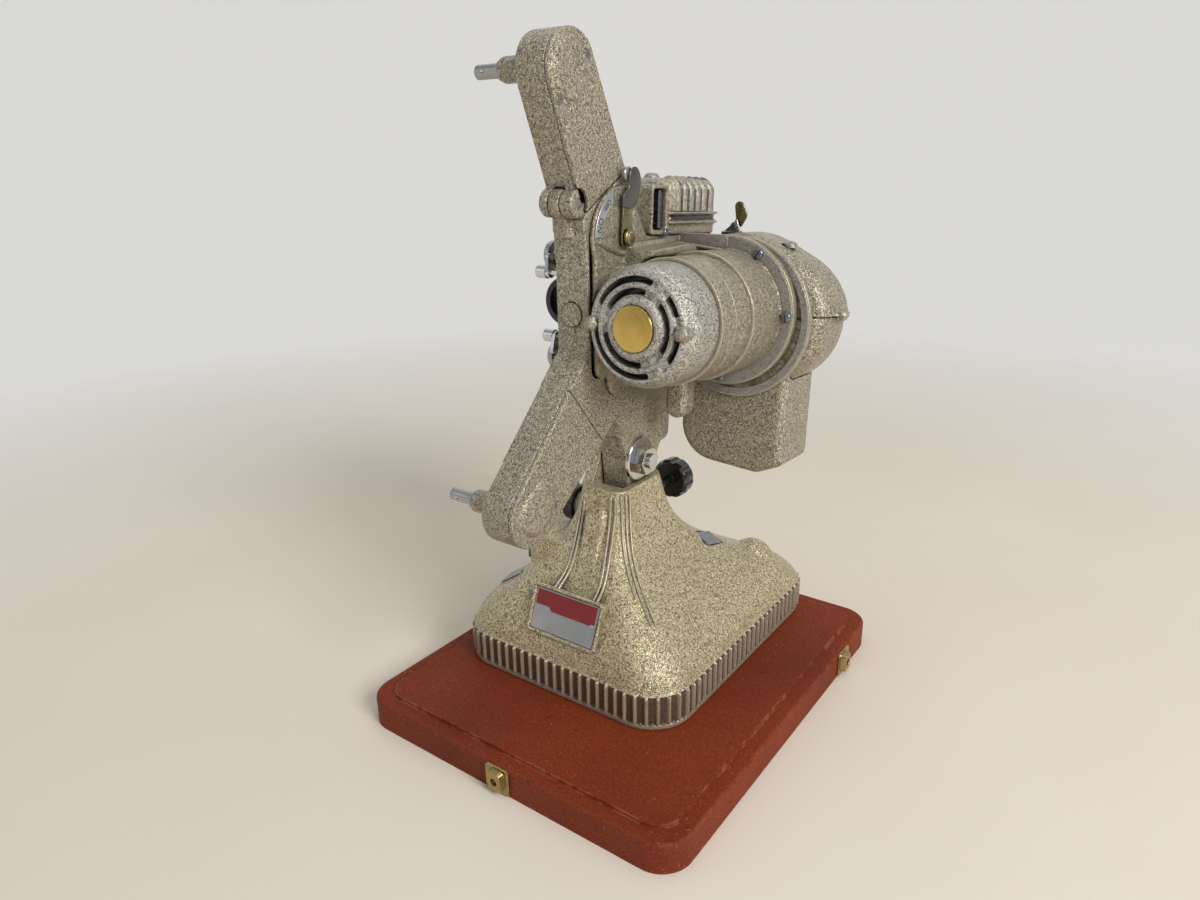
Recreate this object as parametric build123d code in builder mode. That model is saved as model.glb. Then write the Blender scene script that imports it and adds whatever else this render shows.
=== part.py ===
"""Small-gauge movie projector on the base board of its carrying case.

The row frame sits at the centre of the board's underside.  -Y is the lens
direction, -X is the film side, +X is the motor side and +Z is up.
"""

from build123d import *
import math
import os

os.makedirs("parts", exist_ok=True)

# Driving sizes in millimetres

clearance = 0.3
shaft_fit = 0.05
wall = 3.0

board_width = 240.0
board_depth = 290.0
board_thick = 19.0
board_corner = 20.0
panel_inset = 10.0
panel_rise = 2.0
foot_z = board_thick + panel_rise

catch_width = 18.0
catch_plate = 1.2
catch_boss_rise = 3.2
catch_margin = 1.0
side_catch_y = 87.0
catch_screw_radius = 2.6

stand_left = -100.0
stand_right = 70.0
stand_front = -73.0
stand_rear = 139.0
stand_corner = 28.0
skirt_rim = 3.0
skirt_top = 46.0
flute_count = 96
flute_radius = 2.4
flute_proud = 0.9
neck_left = -29.0
neck_right = 6.0
neck_front = -24.0
neck_rear = 27.0
neck_corner = 9.0
neck_top = 150.0
casting_wall = 4.0
section_count = 9
ear_thick = 7.6
ear_radius = 13.0

rear_dome_x = 40.0
rear_dome_y = 98.0
rear_dome_z = 62.0
rear_dome_radius = 17.0

control_left = -65.0
control_front = -40.0
control_rear = 24.0
control_top = 112.0
control_corner = 10.0

plate_width = 50.0
plate_height = 27.0
plate_thick = 0.8
plate_x = -11.0
plate_y = -65.5
plate_z = 75.5
plate_slope = 68.0
plate_margin = 2.0
rivet_radius = 1.3
rivet_inset = 3.2

pivot_y = 4.0
pivot_z = 165.0
pivot_radius = 5.0
washer_radius = 15.0
washer_thick = 2.5
nut_across = 17.0
nut_thick = 7.0

tail_drop = 36.0
tilt_screw_radius = 4.0
tilt_screw_pitch = 1.27
tilt_knob_radius = 14.5
tilt_knob_thick = 13.0
tilt_knob_y = 60.0
tilt_x = -10.35
tilt_pad_length = 5.0

head_left = -23.0
head_right = 0.0
leg_left = -20.7
column_front = -47.5
hinge_y = -53.0
hinge_z = 330.0
hinge_radius = 8.0
hinge_pin_radius = 2.5
seam_front_y = -50.0
seam_front_z = 323.0
seam_rear_y = -7.0
seam_rear_z = 346.0
platform_z = 308.0
head_rear = 104.0
head_bottom = 215.0

upper_tip_y = -56.0
upper_tip_z = 397.5
upper_tip_radius = 20.0
lower_tip_y = -102.0
lower_tip_z = 162.0
lower_tip_radius = 19.5
arm_cover_thick = 3.0
arm_corner = 2.0

spindle_radius = 3.95
spindle_journal = 4.6
spindle_collar = 0.5
spindle_boss_radius = 7.0
spindle_boss_end = -44.5
spindle_end = -64.5
spindle_inner_end = -5.0
upper_spindle_y = -58.6
upper_spindle_z = 399.0
lower_spindle_y = -102.0
lower_spindle_z = 161.5
pulley_radius = 12.0
pulley_width = 6.0

lean_angle = 3.4
lean_y = 5.0
lean_z = 262.0

motor_x = 38.0
motor_z = 262.0
cap_front_y = -55.0
cap_radius = 34.5
cap_rear_y = -24.0
barrel_step_y = 10.0
barrel_front_radius = 36.5
barrel_rear_radius = 38.5
motor_flange_y = 46.0
motor_flange_thick = 6.0
motor_flange_radius = 47.0
motor_screw_circle = 42.3
shell_thick = 2.0
motor_shaft_radius = 4.0
fan_radius = 36.0

scroll_front_y = 52.0
scroll_rear_y = 101.0
scroll_ring_radius = 52.0
scroll_centre_x = 57.0
scroll_centre_z = 254.0
scroll_radius = 46.5
scroll_edge = 12.0

scroll_top_z = 304.5

duct_left = 3.5
duct_right = 80.0
duct_bottom = 155.0
duct_edge = 5.5

optic_x = -40.0
optic_z = 267.0
sprocket_y = -20.0
sprocket_spots = {"upper": 297.0, "lower": 234.0}
sprocket_radius = 8.5
sprocket_left = -48.0
keeper_spots = {"upper": (-28.6, 287.5), "lower": (-24.0, 247.0)}
keeper_angles = {"upper": 91.2, "lower": -113.2}
keeper_reach = 9.0
keeper_left = -52.0
gear_radius = 10.5
gear_teeth = 20
plug_spot = (-12.0, 267.2)
plug_radius = 7.0
lens_radius = 15.0
lens_barrel_radius = 12.0
lens_front_y = -20.0
gate_y = 8.0

lamp_y = 66.0
lamp_radius = 12.5
lamp_house_left = -66.0
lamp_house_right = 2.5
lamp_house_front = 32.0
lamp_house_rear = 96.0
lamp_house_top = 342.0
fin_thick = 1.6
fin_reach = 2.5


dial_y = -4.0
dial_z = 126.0
dial_face = -41.0
dial_radius = 13.0
dial_stem_radius = 3.0
switch_z = 98.0
switch_spots = (-23.0, 7.0)
switch_plate_thick = 1.0
toggle_pin_half = 1.9


def save(piece, label, leaning=False):
    """Name a finished piece and write its file; the optics and motor lean back."""
    if leaning:
        piece.part = piece.part.rotate(Axis((0, lean_y, lean_z), (1, 0, 0)), -lean_angle)
    piece.part.label = label
    export_step(piece.part, f"parts/{label}.step")


def lean_point(y, z):
    """Where a point of the upright optics and motor ends up once they lean back."""
    angle = math.radians(lean_angle)
    lean_u = (y - lean_y) * math.cos(angle) + (z - lean_z) * math.sin(angle)
    lean_v = (z - lean_z) * math.cos(angle) - (y - lean_y) * math.sin(angle)
    return lean_y + lean_u, lean_z + lean_v


def side_plane(x):
    """Sketch plane across X: its own axes are Y and Z, extrusion goes to +X."""
    return Plane(origin=(x, 0, 0), x_dir=(0, 1, 0), z_dir=(1, 0, 0))


def front_plane(y):
    """Sketch plane across Y: its own axes are X and Z, extrusion goes to -Y."""
    return Plane(origin=(0, y, 0), x_dir=(1, 0, 0), z_dir=(0, -1, 0))


def rod(plane, centre, radius, length):
    """Round bar that starts on a plane."""
    with BuildPart() as bar:
        with BuildSketch(plane):
            with Locations(centre):
                Circle(radius)
        extrude(amount=length)
    return bar.part


def tube(plane, centre, outer, inner, length):
    """Round bar with a bore right through."""
    with BuildPart() as pipe:
        with BuildSketch(plane):
            with Locations(centre):
                Circle(outer)
                Circle(inner, mode=Mode.SUBTRACT)
        extrude(amount=length)
    return pipe.part


def block(plane, low, high, length, corner=0.0):
    """Straight block between two corners on a plane, its edges rounded."""
    with BuildPart() as bar:
        with BuildSketch(plane):
            with Locations(((low[0] + high[0]) / 2, (low[1] + high[1]) / 2)):
                if corner:
                    RectangleRounded(high[0] - low[0], high[1] - low[1], corner)
                else:
                    Rectangle(high[0] - low[0], high[1] - low[1])
        extrude(amount=length)
    return bar.part


def hull(plane, circles, length, start_round=0.0, end_round=0.0):
    """Solid bounded by the tight outline round a few circles (u, v, radius)."""
    with BuildPart() as solid:
        with BuildSketch(plane):
            for u, v, radius in circles:
                with Locations((u, v)):
                    Circle(radius)
            make_hull()
        extrude(amount=length)
        caps = solid.faces().sort_by(Axis(plane.origin, plane.z_dir))
        if start_round:
            fillet(caps[0].edges(), start_round)
        if end_round:
            fillet(solid.faces().sort_by(Axis(plane.origin, plane.z_dir))[-1].edges(), end_round)
    return solid.part


def screw_head(plane, centre, radius, height, slot=0.8):
    """Slotted screw head."""
    with BuildPart() as head:
        with BuildSketch(plane):
            with Locations(centre):
                Circle(radius)
        extrude(amount=height)
        with BuildSketch(plane.offset(height)):
            with Locations(Location((centre[0], centre[1], 0), 35.0)):
                Rectangle(2.2 * radius, slot)
        extrude(amount=-0.5 * height, mode=Mode.SUBTRACT)
    return head.part


def flank(t, fullness):
    """Share of the way from the neck out to the skirt, t down from the neck."""
    ease = 3 * t**2 - 2 * t**3
    return 0.25 * t + 0.75 * ease**fullness


def shell_section(z, inset):
    """Centre, size and corner radius of the stand's outline at one height."""
    t = (neck_top - z) / (neck_top - skirt_top)
    left = neck_left + (stand_left - neck_left) * flank(t, 1.9) + inset
    right = neck_right + (stand_right - neck_right) * flank(t, 2.0) - inset
    front = neck_front + (stand_front - neck_front) * flank(t, 1.2) + inset
    rear = neck_rear + (stand_rear - neck_rear) * flank(t, 2.3) - inset
    corner = neck_corner + (stand_corner - neck_corner) * flank(t, 1.2) - inset
    return (left + right) / 2, (front + rear) / 2, right - left, rear - front, corner


# Base board of the carrying case

with BuildPart() as case_base_board:
    with BuildSketch():
        RectangleRounded(board_width, board_depth, board_corner)
    extrude(amount=board_thick)
    edge_loop = case_base_board.faces().sort_by(Axis.Z)[-1].edges()
    fillet(edge_loop, 2.0)
    with BuildSketch(Plane.XY.offset(board_thick - 1.0)):
        RectangleRounded(
            board_width - 2 * panel_inset,
            board_depth - 2 * panel_inset,
            board_corner - panel_inset / 2,
        )
    extrude(amount=panel_rise + 1.0)
    for screw_x in (stand_left + 20, stand_right - 20):
        for screw_y in (stand_front + 20, stand_rear - 20):
            with BuildSketch(Plane.XY.offset(foot_z)):
                with Locations((screw_x, screw_y)):
                    Circle(2.0 + shaft_fit)
            extrude(amount=-12.0, mode=Mode.SUBTRACT)
save(case_base_board, "case_base_board")

# Brass catches on the four edges of the board: (plane of the edge) per catch
catch_spots = [
    Plane(origin=(0, -board_depth / 2, board_thick / 2), x_dir=(1, 0, 0), z_dir=(0, -1, 0)),
    Plane(origin=(0, board_depth / 2, board_thick / 2), x_dir=(-1, 0, 0), z_dir=(0, 1, 0)),
    Plane(origin=(board_width / 2, side_catch_y, board_thick / 2), x_dir=(0, 1, 0), z_dir=(1, 0, 0)),
    Plane(origin=(-board_width / 2, side_catch_y, board_thick / 2), x_dir=(0, -1, 0), z_dir=(-1, 0, 0)),
]
catch_height = board_thick - 2 * catch_margin

with BuildPart() as case_catches:
    for spot in catch_spots:
        with BuildSketch(spot):
            RectangleRounded(catch_width, catch_height, 2.0)
        extrude(amount=catch_plate)
        with BuildSketch(spot.offset(catch_plate)):
            RectangleRounded(catch_width * 0.6, catch_height - 3.0, 2.5)
        extrude(amount=catch_boss_rise, taper=15)
        with BuildSketch(spot.offset(catch_plate + catch_boss_rise)):
            Circle(catch_screw_radius)
        extrude(amount=-catch_boss_rise, mode=Mode.SUBTRACT)
save(case_catches, "case_catches")

# Stand casting: fluted skirt, flared shell, neck with the pivot ear

plate_plane = Plane(
    origin=(plate_x, plate_y, plate_z),
    x_dir=(1, 0, 0),
    z_dir=(0, -math.sin(math.radians(plate_slope)), math.cos(math.radians(plate_slope))),
)
film_slope_plane = Plane(origin=(-72.0, -42.0, 78.0), x_dir=(0.83, 0, 0.55), z_dir=(-0.55, -0.15, 0.82))
rear_slope_plane = Plane(origin=(25.5, 56.0, 92.5), x_dir=(0, 0.95, -0.31), z_dir=(0.45, 0.28, 0.85))
slope_plate_size = (22.0, 13.0)
slot_front = -15.0
slot_rear = 24.0
slot_left = leg_left - 0.5
slot_right = 1.0


def shell_loft(bottom_z, top_z, inset):
    """Flared shell of the stand between two heights."""
    with BuildPart() as shell:
        for index in range(section_count):
            z = bottom_z + (top_z - bottom_z) * index / (section_count - 1)
            cx, cy, width, depth, corner = shell_section(max(z, skirt_top), inset)
            with BuildSketch(Plane.XY.offset(z)):
                with Locations((cx, cy)):
                    RectangleRounded(width, depth, corner)
        loft()
    return shell.part


outer_shell = shell_loft(skirt_top, neck_top, 0.0)
inner_shell = shell_loft(skirt_top, neck_top - casting_wall, casting_wall)
stand_cx, stand_cy, stand_width, stand_depth, _ = shell_section(skirt_top, 0.0)

with BuildPart() as base_casting:
    with BuildSketch(Plane.XY.offset(foot_z)):
        with Locations((stand_cx, stand_cy)):
            RectangleRounded(stand_width + 1.6, stand_depth + 1.6, stand_corner + 0.8)
    extrude(amount=skirt_rim)
    with BuildSketch(Plane.XY.offset(foot_z + skirt_rim)) as skirt:
        with Locations((stand_cx, stand_cy)):
            RectangleRounded(
                stand_width + 2 * flute_proud,
                stand_depth + 2 * flute_proud,
                stand_corner + flute_proud,
            )
        skirt_line = skirt.wires()[0]
        with Locations(*[skirt_line @ (index / flute_count) for index in range(flute_count)]):
            Circle(flute_radius, mode=Mode.SUBTRACT)
    extrude(amount=skirt_top - foot_z - skirt_rim - 1.0)
    with BuildSketch(Plane.XY.offset(foot_z + skirt_rim)):
        with Locations((stand_cx, stand_cy)):
            RectangleRounded(stand_width - 2.4, stand_depth - 2.4, stand_corner - 1.2)
    extrude(amount=skirt_top - foot_z - skirt_rim)
    add(outer_shell)
    with BuildSketch(Plane.XY.offset(skirt_top)):
        with Locations(((control_left - 25.0) / 2, (control_front + control_rear) / 2)):
            RectangleRounded(-25.0 - control_left, control_rear - control_front, control_corner)
    extrude(amount=control_top - skirt_top)
    with BuildSketch(plate_plane.offset(-plate_thick)):
        RectangleRounded(plate_width + 2 * plate_margin, plate_height + 2 * plate_margin, 2.0)
    extrude(amount=-14.0)
    for slope in (film_slope_plane, rear_slope_plane):
        with BuildSketch(slope):
            RectangleRounded(slope_plate_size[0] + 2.0, slope_plate_size[1] + 2.0, 2.0)
        extrude(amount=-8.0)
        with BuildSketch(slope):
            RectangleRounded(slope_plate_size[0] + 2.0, slope_plate_size[1] + 2.0, 2.0)
        extrude(amount=8.0, mode=Mode.SUBTRACT)
    with Locations((rear_dome_x, rear_dome_y, rear_dome_z)):
        Sphere(rear_dome_radius)
    with BuildSketch(side_plane(neck_left)):
        with BuildLine():
            Line((-20.0, neck_top - 2.0), (23.0, neck_top - 2.0))
            Line((23.0, neck_top - 2.0), (pivot_y + ear_radius, pivot_z))
            RadiusArc((pivot_y + ear_radius, pivot_z), (pivot_y - ear_radius, pivot_z), -ear_radius)
            Line((pivot_y - ear_radius, pivot_z), (-20.0, neck_top - 2.0))
        make_face()
    extrude(amount=ear_thick)
    # hollow underneath
    with BuildSketch(Plane.XY.offset(foot_z)):
        with Locations((stand_cx, stand_cy)):
            RectangleRounded(
                stand_width - 2 * casting_wall, stand_depth - 2 * casting_wall, stand_corner - casting_wall
            )
    extrude(amount=skirt_top - foot_z, mode=Mode.SUBTRACT)
    add(inner_shell, mode=Mode.SUBTRACT)
    with BuildSketch(Plane.XY.offset(skirt_top)):
        with Locations(((control_left - 25.0) / 2, (control_front + control_rear) / 2)):
            RectangleRounded(
                -25.0 - control_left - 2 * casting_wall,
                control_rear - control_front - 2 * casting_wall,
                control_corner - casting_wall,
            )
    extrude(amount=control_top - skirt_top - casting_wall, mode=Mode.SUBTRACT)
    # slot for the head's leg, open at the top of the neck
    with BuildSketch(Plane.XY.offset(neck_top + 1.0)):
        with Locations(((slot_left + slot_right) / 2, (slot_front + slot_rear) / 2)):
            Rectangle(slot_right - slot_left, slot_rear - slot_front)
    extrude(amount=-24.0, mode=Mode.SUBTRACT)
    # pivot bolt hole and tilt screw hole
    bolt_hole = rod(side_plane(neck_left - 1.0), (pivot_y, pivot_z), pivot_radius + shaft_fit, 12.0)
    add(bolt_hole, mode=Mode.SUBTRACT)
    screw_hole = rod(front_plane(42.0), (tilt_x, pivot_z - tail_drop), tilt_screw_radius + shaft_fit, 30.0)
    add(screw_hole, mode=Mode.SUBTRACT)
    add(rod(side_plane(dial_face), (dial_y, dial_z), dial_radius - 3.0, 10.0))
    dial_hole = rod(side_plane(dial_face - 1.0), (dial_y, dial_z), dial_stem_radius + shaft_fit, 14.0)
    add(dial_hole, mode=Mode.SUBTRACT)
save(base_casting, "base_casting")
print("base casting volume", round(base_casting.part.volume), len(base_casting.part.solids()))

with BuildPart() as base_plate:
    with BuildSketch(Plane.XY.offset(foot_z)):
        with Locations((stand_cx, stand_cy)):
            RectangleRounded(
                stand_width - 2 * casting_wall - 0.6,
                stand_depth - 2 * casting_wall - 0.6,
                stand_corner - casting_wall - clearance,
            )
        for screw_x in (stand_left + 20, stand_right - 20):
            for screw_y in (stand_front + 20, stand_rear - 20):
                with Locations((screw_x, screw_y)):
                    Circle(2.0 + shaft_fit, mode=Mode.SUBTRACT)
    extrude(amount=2.0)
save(base_plate, "base_plate")

with BuildPart() as board_screws:
    for spot in catch_spots:
        with BuildSketch(spot.offset(catch_plate)):
            Circle(catch_screw_radius - 0.1)
        extrude(amount=1.6)
        with BuildSketch(spot.offset(catch_plate + 1.6)):
            Rectangle(2 * catch_screw_radius, 0.6)
        extrude(amount=-0.7, mode=Mode.SUBTRACT)
    for screw_x in (stand_left + 20, stand_right - 20):
        for screw_y in (stand_front + 20, stand_rear - 20):
            add(screw_head(Plane.XY.offset(foot_z + 2.0), (screw_x, screw_y), 4.0, 2.4))
            add(rod(Plane.XY.offset(foot_z - 11.0), (screw_x, screw_y), 2.0, 13.0))
save(board_screws, "board_screws")

# Plate on the sloping front, left bare, and its two rivets

rivet_x = plate_width / 2 - rivet_inset
with BuildPart() as nameplate:
    with BuildSketch(plate_plane.offset(-plate_thick)):
        RectangleRounded(plate_width, plate_height, 1.0)
        with Locations((-rivet_x, 0), (rivet_x, 0)):
            Circle(rivet_radius * 0.6, mode=Mode.SUBTRACT)
    extrude(amount=plate_thick)
save(nameplate, "nameplate")

with BuildPart() as nameplate_rivets:
    for side in (-1, 1):
        with BuildSketch(plate_plane):
            with Locations((side * rivet_x, 0)):
                Circle(rivet_radius)
        extrude(amount=0.6)
        with BuildSketch(plate_plane.offset(-plate_thick)):
            with Locations((side * rivet_x, 0)):
                Circle(rivet_radius * 0.6)
        extrude(amount=plate_thick)
save(nameplate_rivets, "nameplate_rivets")

# Switches and dial on the film side of the stand

with BuildPart() as control_plates:
    with BuildSketch(Plane(origin=(control_left, 0, 0), x_dir=(0, -1, 0), z_dir=(-1, 0, 0))):
        with Locations((-(switch_spots[0] + switch_spots[1]) / 2, switch_z)):
            RectangleRounded(54.0, 17.0, 2.0)
        for spot_y in switch_spots:
            with Locations((-spot_y, switch_z)):
                Circle(2.2, mode=Mode.SUBTRACT)
    extrude(amount=switch_plate_thick)
    for spot_y in switch_spots:
        add(tube(side_plane(control_left - 6.0), (spot_y, switch_z), 3.1, 2.2, 6.0))
    for slope in (film_slope_plane, rear_slope_plane):
        with BuildSketch(slope):
            RectangleRounded(slope_plate_size[0], slope_plate_size[1], 1.5)
        extrude(amount=1.2)
save(control_plates, "control_plates")


def toggle_lever(spot_y):
    """Tapered lever with a round end, pointing away from the stand."""
    with BuildPart() as lever:
        with BuildSketch(side_plane(control_left - 16.0)):
            with Locations((spot_y, switch_z)):
                Circle(2.2)
        extrude(amount=14.0, taper=4.5)
        fillet(lever.edges().filter_by(GeomType.CIRCLE).sort_by(Axis.X)[0], 1.8)
        add(rod(front_plane(spot_y + toggle_pin_half), (control_left - 3.0, switch_z), 1.2, 2 * toggle_pin_half))
    return lever


motor_switch = toggle_lever(switch_spots[0])
save(motor_switch, "motor_switch")
lamp_switch = toggle_lever(switch_spots[1])
save(lamp_switch, "lamp_switch")

with BuildPart() as speed_dial:
    add(rod(side_plane(dial_face - 9.0), (dial_y, dial_z), dial_radius, 8.7))
    top_edges = speed_dial.edges().filter_by(GeomType.CIRCLE).sort_by(Axis.X)[0]
    fillet(top_edges, 1.5)
    add(rod(side_plane(dial_face - 1.0), (dial_y, dial_z), dial_stem_radius, 8.0))
    for index in range(12):
        angle = 2 * math.pi * index / 12
        notch = (
            dial_y + (dial_radius + 0.6) * math.cos(angle),
            dial_z + (dial_radius + 0.6) * math.sin(angle),
        )
        add(rod(side_plane(dial_face - 9.5), notch, 1.4, 7.0), mode=Mode.SUBTRACT)
save(speed_dial, "speed_dial")

# Pivot bolt, washer and nut that carry the head

hex_radius = nut_across / math.sqrt(3)
bolt_end = washer_thick + nut_thick + 2.5

with BuildPart() as pivot_bolt:
    with BuildSketch(side_plane(neck_left - 5.0)):
        with Locations((pivot_y, pivot_z)):
            RegularPolygon(hex_radius, 6)
    extrude(amount=5.0)
    add(rod(side_plane(neck_left), (pivot_y, pivot_z), pivot_radius, bolt_end - neck_left))
save(pivot_bolt, "pivot_bolt")

with BuildPart() as pivot_washer:
    add(tube(side_plane(0.1), (pivot_y, pivot_z), washer_radius, pivot_radius + shaft_fit, washer_thick))
    outer_face = pivot_washer.edges().filter_by(GeomType.CIRCLE).group_by(Axis.X)[-1]
    fillet(outer_face.sort_by(SortBy.LENGTH)[-1], 1.2)
save(pivot_washer, "pivot_washer")

with BuildPart() as pivot_nut:
    with BuildSketch(side_plane(0.1 + washer_thick)):
        with Locations((pivot_y, pivot_z)):
            RegularPolygon(hex_radius, 6)
            Circle(pivot_radius + shaft_fit, mode=Mode.SUBTRACT)
    extrude(amount=nut_thick)
save(pivot_nut, "pivot_nut")

# Tilt screw: domed pad against the leg's tail, screw and star knob

tilt_z = pivot_z - tail_drop
tail_rear = 12.0
pad_front = tail_rear + 0.5

with BuildPart() as tilt_pad:
    pad_rear = pad_front + tilt_pad_length
    add(rod(front_plane(pad_rear), (tilt_x, tilt_z), tilt_screw_radius - 0.5, tilt_pad_length))
    fillet(tilt_pad.edges().filter_by(GeomType.CIRCLE).sort_by(Axis.Y)[0], 2.5)
save(tilt_pad, "tilt_pad")

with BuildPart() as tilt_knob:
    screw_start = pad_front + tilt_pad_length + 0.2
    add(rod(front_plane(tilt_knob_y), (tilt_x, tilt_z), tilt_screw_radius, tilt_knob_y - screw_start))
    add(rod(front_plane(tilt_knob_y + tilt_knob_thick), (tilt_x, tilt_z), tilt_knob_radius, tilt_knob_thick))
    knob_rims = tilt_knob.edges().filter_by(GeomType.CIRCLE).sort_by(SortBy.LENGTH)[-2:]
    fillet(knob_rims, 3.0)
    for index in range(9):
        angle = 2 * math.pi * index / 9
        notch_reach = tilt_knob_radius + 1.6
        notch = (tilt_x + notch_reach * math.cos(angle), tilt_z + notch_reach * math.sin(angle))
        notch_cut = rod(front_plane(tilt_knob_y + tilt_knob_thick + 1), notch, 3.0, tilt_knob_thick + 2)
        add(notch_cut, mode=Mode.SUBTRACT)
save(tilt_knob, "tilt_knob")

# Head casting: column, lower arm, leg and rear platform, hollow inside

arm_seam_front = (-63.0, 223.5)
arm_seam_rear = (-34.0, 187.0)
lower_root = [(-50.5, 241.5, 1.0), (-21.5, 198.5, 1.0), (-22.0, 236.0, 4.0)]
lower_tip = (lower_tip_y, lower_tip_z, lower_tip_radius)


def shrink(circles, amount):
    """The same hull circles, drawn in by a wall; corner circles move inward."""
    middle_u = sum(c[0] for c in circles) / len(circles)
    middle_v = sum(c[1] for c in circles) / len(circles)
    smaller = []
    for u, v, radius in circles:
        if radius > amount:
            smaller.append((u, v, radius - amount))
        else:
            reach = math.hypot(middle_u - u, middle_v - v)
            step = amount * 1.5 / reach
            smaller.append((u + (middle_u - u) * step, v + (middle_v - v) * step, radius))
    return smaller


def beyond_lower_seam(x, length, offset):
    """Block that covers everything outside the lower arm's parting line."""
    du = arm_seam_rear[0] - arm_seam_front[0]
    dv = arm_seam_rear[1] - arm_seam_front[1]
    norm = math.hypot(du, dv)
    along = (du / norm, dv / norm)
    out = (along[1], -along[0])
    start = (
        arm_seam_front[0] - 30 * along[0] + offset * out[0],
        arm_seam_front[1] - 30 * along[1] + offset * out[1],
    )
    stop = (start[0] + 110 * along[0], start[1] + 110 * along[1])
    with BuildPart() as zone:
        with BuildSketch(side_plane(x)):
            with BuildLine():
                Polyline(
                    start,
                    stop,
                    (stop[0] + 120 * out[0], stop[1] + 120 * out[1]),
                    (start[0] + 120 * out[0], start[1] + 120 * out[1]),
                    close=True,
                )
            make_face()
        extrude(amount=length)
    return zone.part


head_outline = [
    (seam_front_y, seam_front_z),
    (column_front, 300.0),
    (column_front, 246.0),
    (-50.5, 240.0),
    (-20.8, 197.3),
    (-17.0, 192.0),
    (-16.0, 184.0),
    (39.4, 184.0),
    (39.4, head_bottom),
    (head_rear, head_bottom),
    lean_point(head_rear - 2.5, platform_z - 0.02),
    lean_point(11.3, platform_z - 0.02),
    (2.0, 326.0),
    (seam_rear_y, seam_rear_z),
]
leg_outline = [
    (-16.6, 190.0),
    (-8.9, 167.0),
    (-6.0, tilt_z + 6.0),
    (-4.0, tilt_z - 8.0),
    (tail_rear - 3.0, tilt_z - 8.0),
    (tail_rear, tilt_z - 4.0),
    (tail_rear, tilt_z + 10.0),
    (21.1, 152.0),
    (32.4, 169.5),
    (39.4, 185.5),
    (39.4, 195.0),
    (-14.0, 195.0),
]


def profile(plane, points, length):
    """Solid from a closed outline of straight edges."""
    with BuildPart() as solid:
        with BuildSketch(plane):
            with BuildLine():
                Polyline(*points, close=True)
            make_face()
        extrude(amount=length)
    return solid.part


hinge_centre = (hinge_y, hinge_z)
knuckle_left = -17.0
knuckle_right = -9.0

with BuildPart() as head_casting:
    add(profile(side_plane(head_left), head_outline, head_right - head_left))
    rear_edges = head_casting.edges().filter_by(Axis.X)
    fillet(rear_edges.sort_by(Axis.Y)[-2:], 10.0)
    add(hull(side_plane(head_left), lower_root + [lower_tip], head_right - head_left))
    add(profile(side_plane(leg_left), leg_outline, head_right - leg_left))
    # the arm that folds needs a round seat at its hinge
    seat = rod(side_plane(head_left - 1), hinge_centre, hinge_radius + clearance, head_right - head_left + 2)
    add(seat, mode=Mode.SUBTRACT)
    add(rod(side_plane(knuckle_left), hinge_centre, hinge_radius, knuckle_right - knuckle_left))
    bridge = block(
        side_plane(knuckle_left),
        (hinge_y, seam_front_z - 12),
        (hinge_y + 6, hinge_z - 4),
        knuckle_right - knuckle_left,
    )
    add(bridge)
    pin_hole = rod(side_plane(head_left - 1), hinge_centre, hinge_pin_radius, head_right - head_left + 2)
    add(pin_hole, mode=Mode.SUBTRACT)
    # hollow of the column and gear space, open to the motor side
    gear_space = block(
        side_plane(head_left + wall),
        (column_front + wall, 229.0),
        (head_rear - wall, 297.0),
        head_right - head_left - wall,
        6.0,
    )
    add(gear_space, mode=Mode.SUBTRACT)
    wheel_spot = (sprocket_y, sprocket_spots["lower"])
    wheel_room = rod(side_plane(head_left + wall), wheel_spot, gear_radius + 1.0, -head_left - wall)
    add(wheel_room, mode=Mode.SUBTRACT)
    # the fan housing's ring, tipped back with the motor, passes the casting's right edge
    ring_room = rod(front_plane(scroll_front_y + 4.5), (motor_x, motor_z), scroll_ring_radius + 0.5, 5.0)
    ring_room = ring_room.rotate(Axis((0, lean_y, lean_z), (1, 0, 0)), -lean_angle)
    add(ring_room, mode=Mode.SUBTRACT)
    upper_space = block(
        side_plane(head_left + wall),
        (column_front + wall, 280.0),
        (-3.0, 317.0),
        head_right - head_left - wall,
        6.0,
    )
    add(upper_space, mode=Mode.SUBTRACT)
    arm_space = hull(side_plane(head_left + wall), shrink(lower_root + [lower_tip], wall), -head_left - wall)
    add(arm_space & beyond_lower_seam(head_left, -head_left + 1, 3.0), mode=Mode.SUBTRACT)
    add(beyond_lower_seam(-arm_cover_thick, arm_cover_thick + 1, 0.0), mode=Mode.SUBTRACT)
    boss_length = head_left + wall - spindle_boss_end
    lower_spot = (lower_spindle_y, lower_spindle_z)
    add(rod(side_plane(spindle_boss_end), lower_spot, spindle_boss_radius, boss_length))
    bore_start = side_plane(spindle_boss_end - 1)
    spindle_bore = rod(bore_start, lower_spot, spindle_journal + shaft_fit, boss_length + 2)
    add(spindle_bore, mode=Mode.SUBTRACT)
    for roller_z in sprocket_spots.values():
        add(rod(side_plane(head_left - 1), (sprocket_y, roller_z), 2.5 + shaft_fit, 6.0), mode=Mode.SUBTRACT)
    for keeper_spot in keeper_spots.values():
        add(rod(side_plane(head_left - 1), keeper_spot, 2.0 + shaft_fit, 6.0), mode=Mode.SUBTRACT)
    plug_seat = rod(front_plane(column_front + 2.5), plug_spot, plug_radius, 6.0)
    add(plug_seat, mode=Mode.SUBTRACT)
    bolt_clear = rod(side_plane(leg_left - 1), (pivot_y, pivot_z), pivot_radius + shaft_fit, 23.0)
    add(bolt_clear, mode=Mode.SUBTRACT)
save(head_casting, "head_casting")
print("head casting", round(head_casting.part.volume), len(head_casting.part.solids()))

cover_spots_lower = [(-103.0, 183.0), (-80.5, 161.5)]
cover_screw_radius = 2.6

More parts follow.
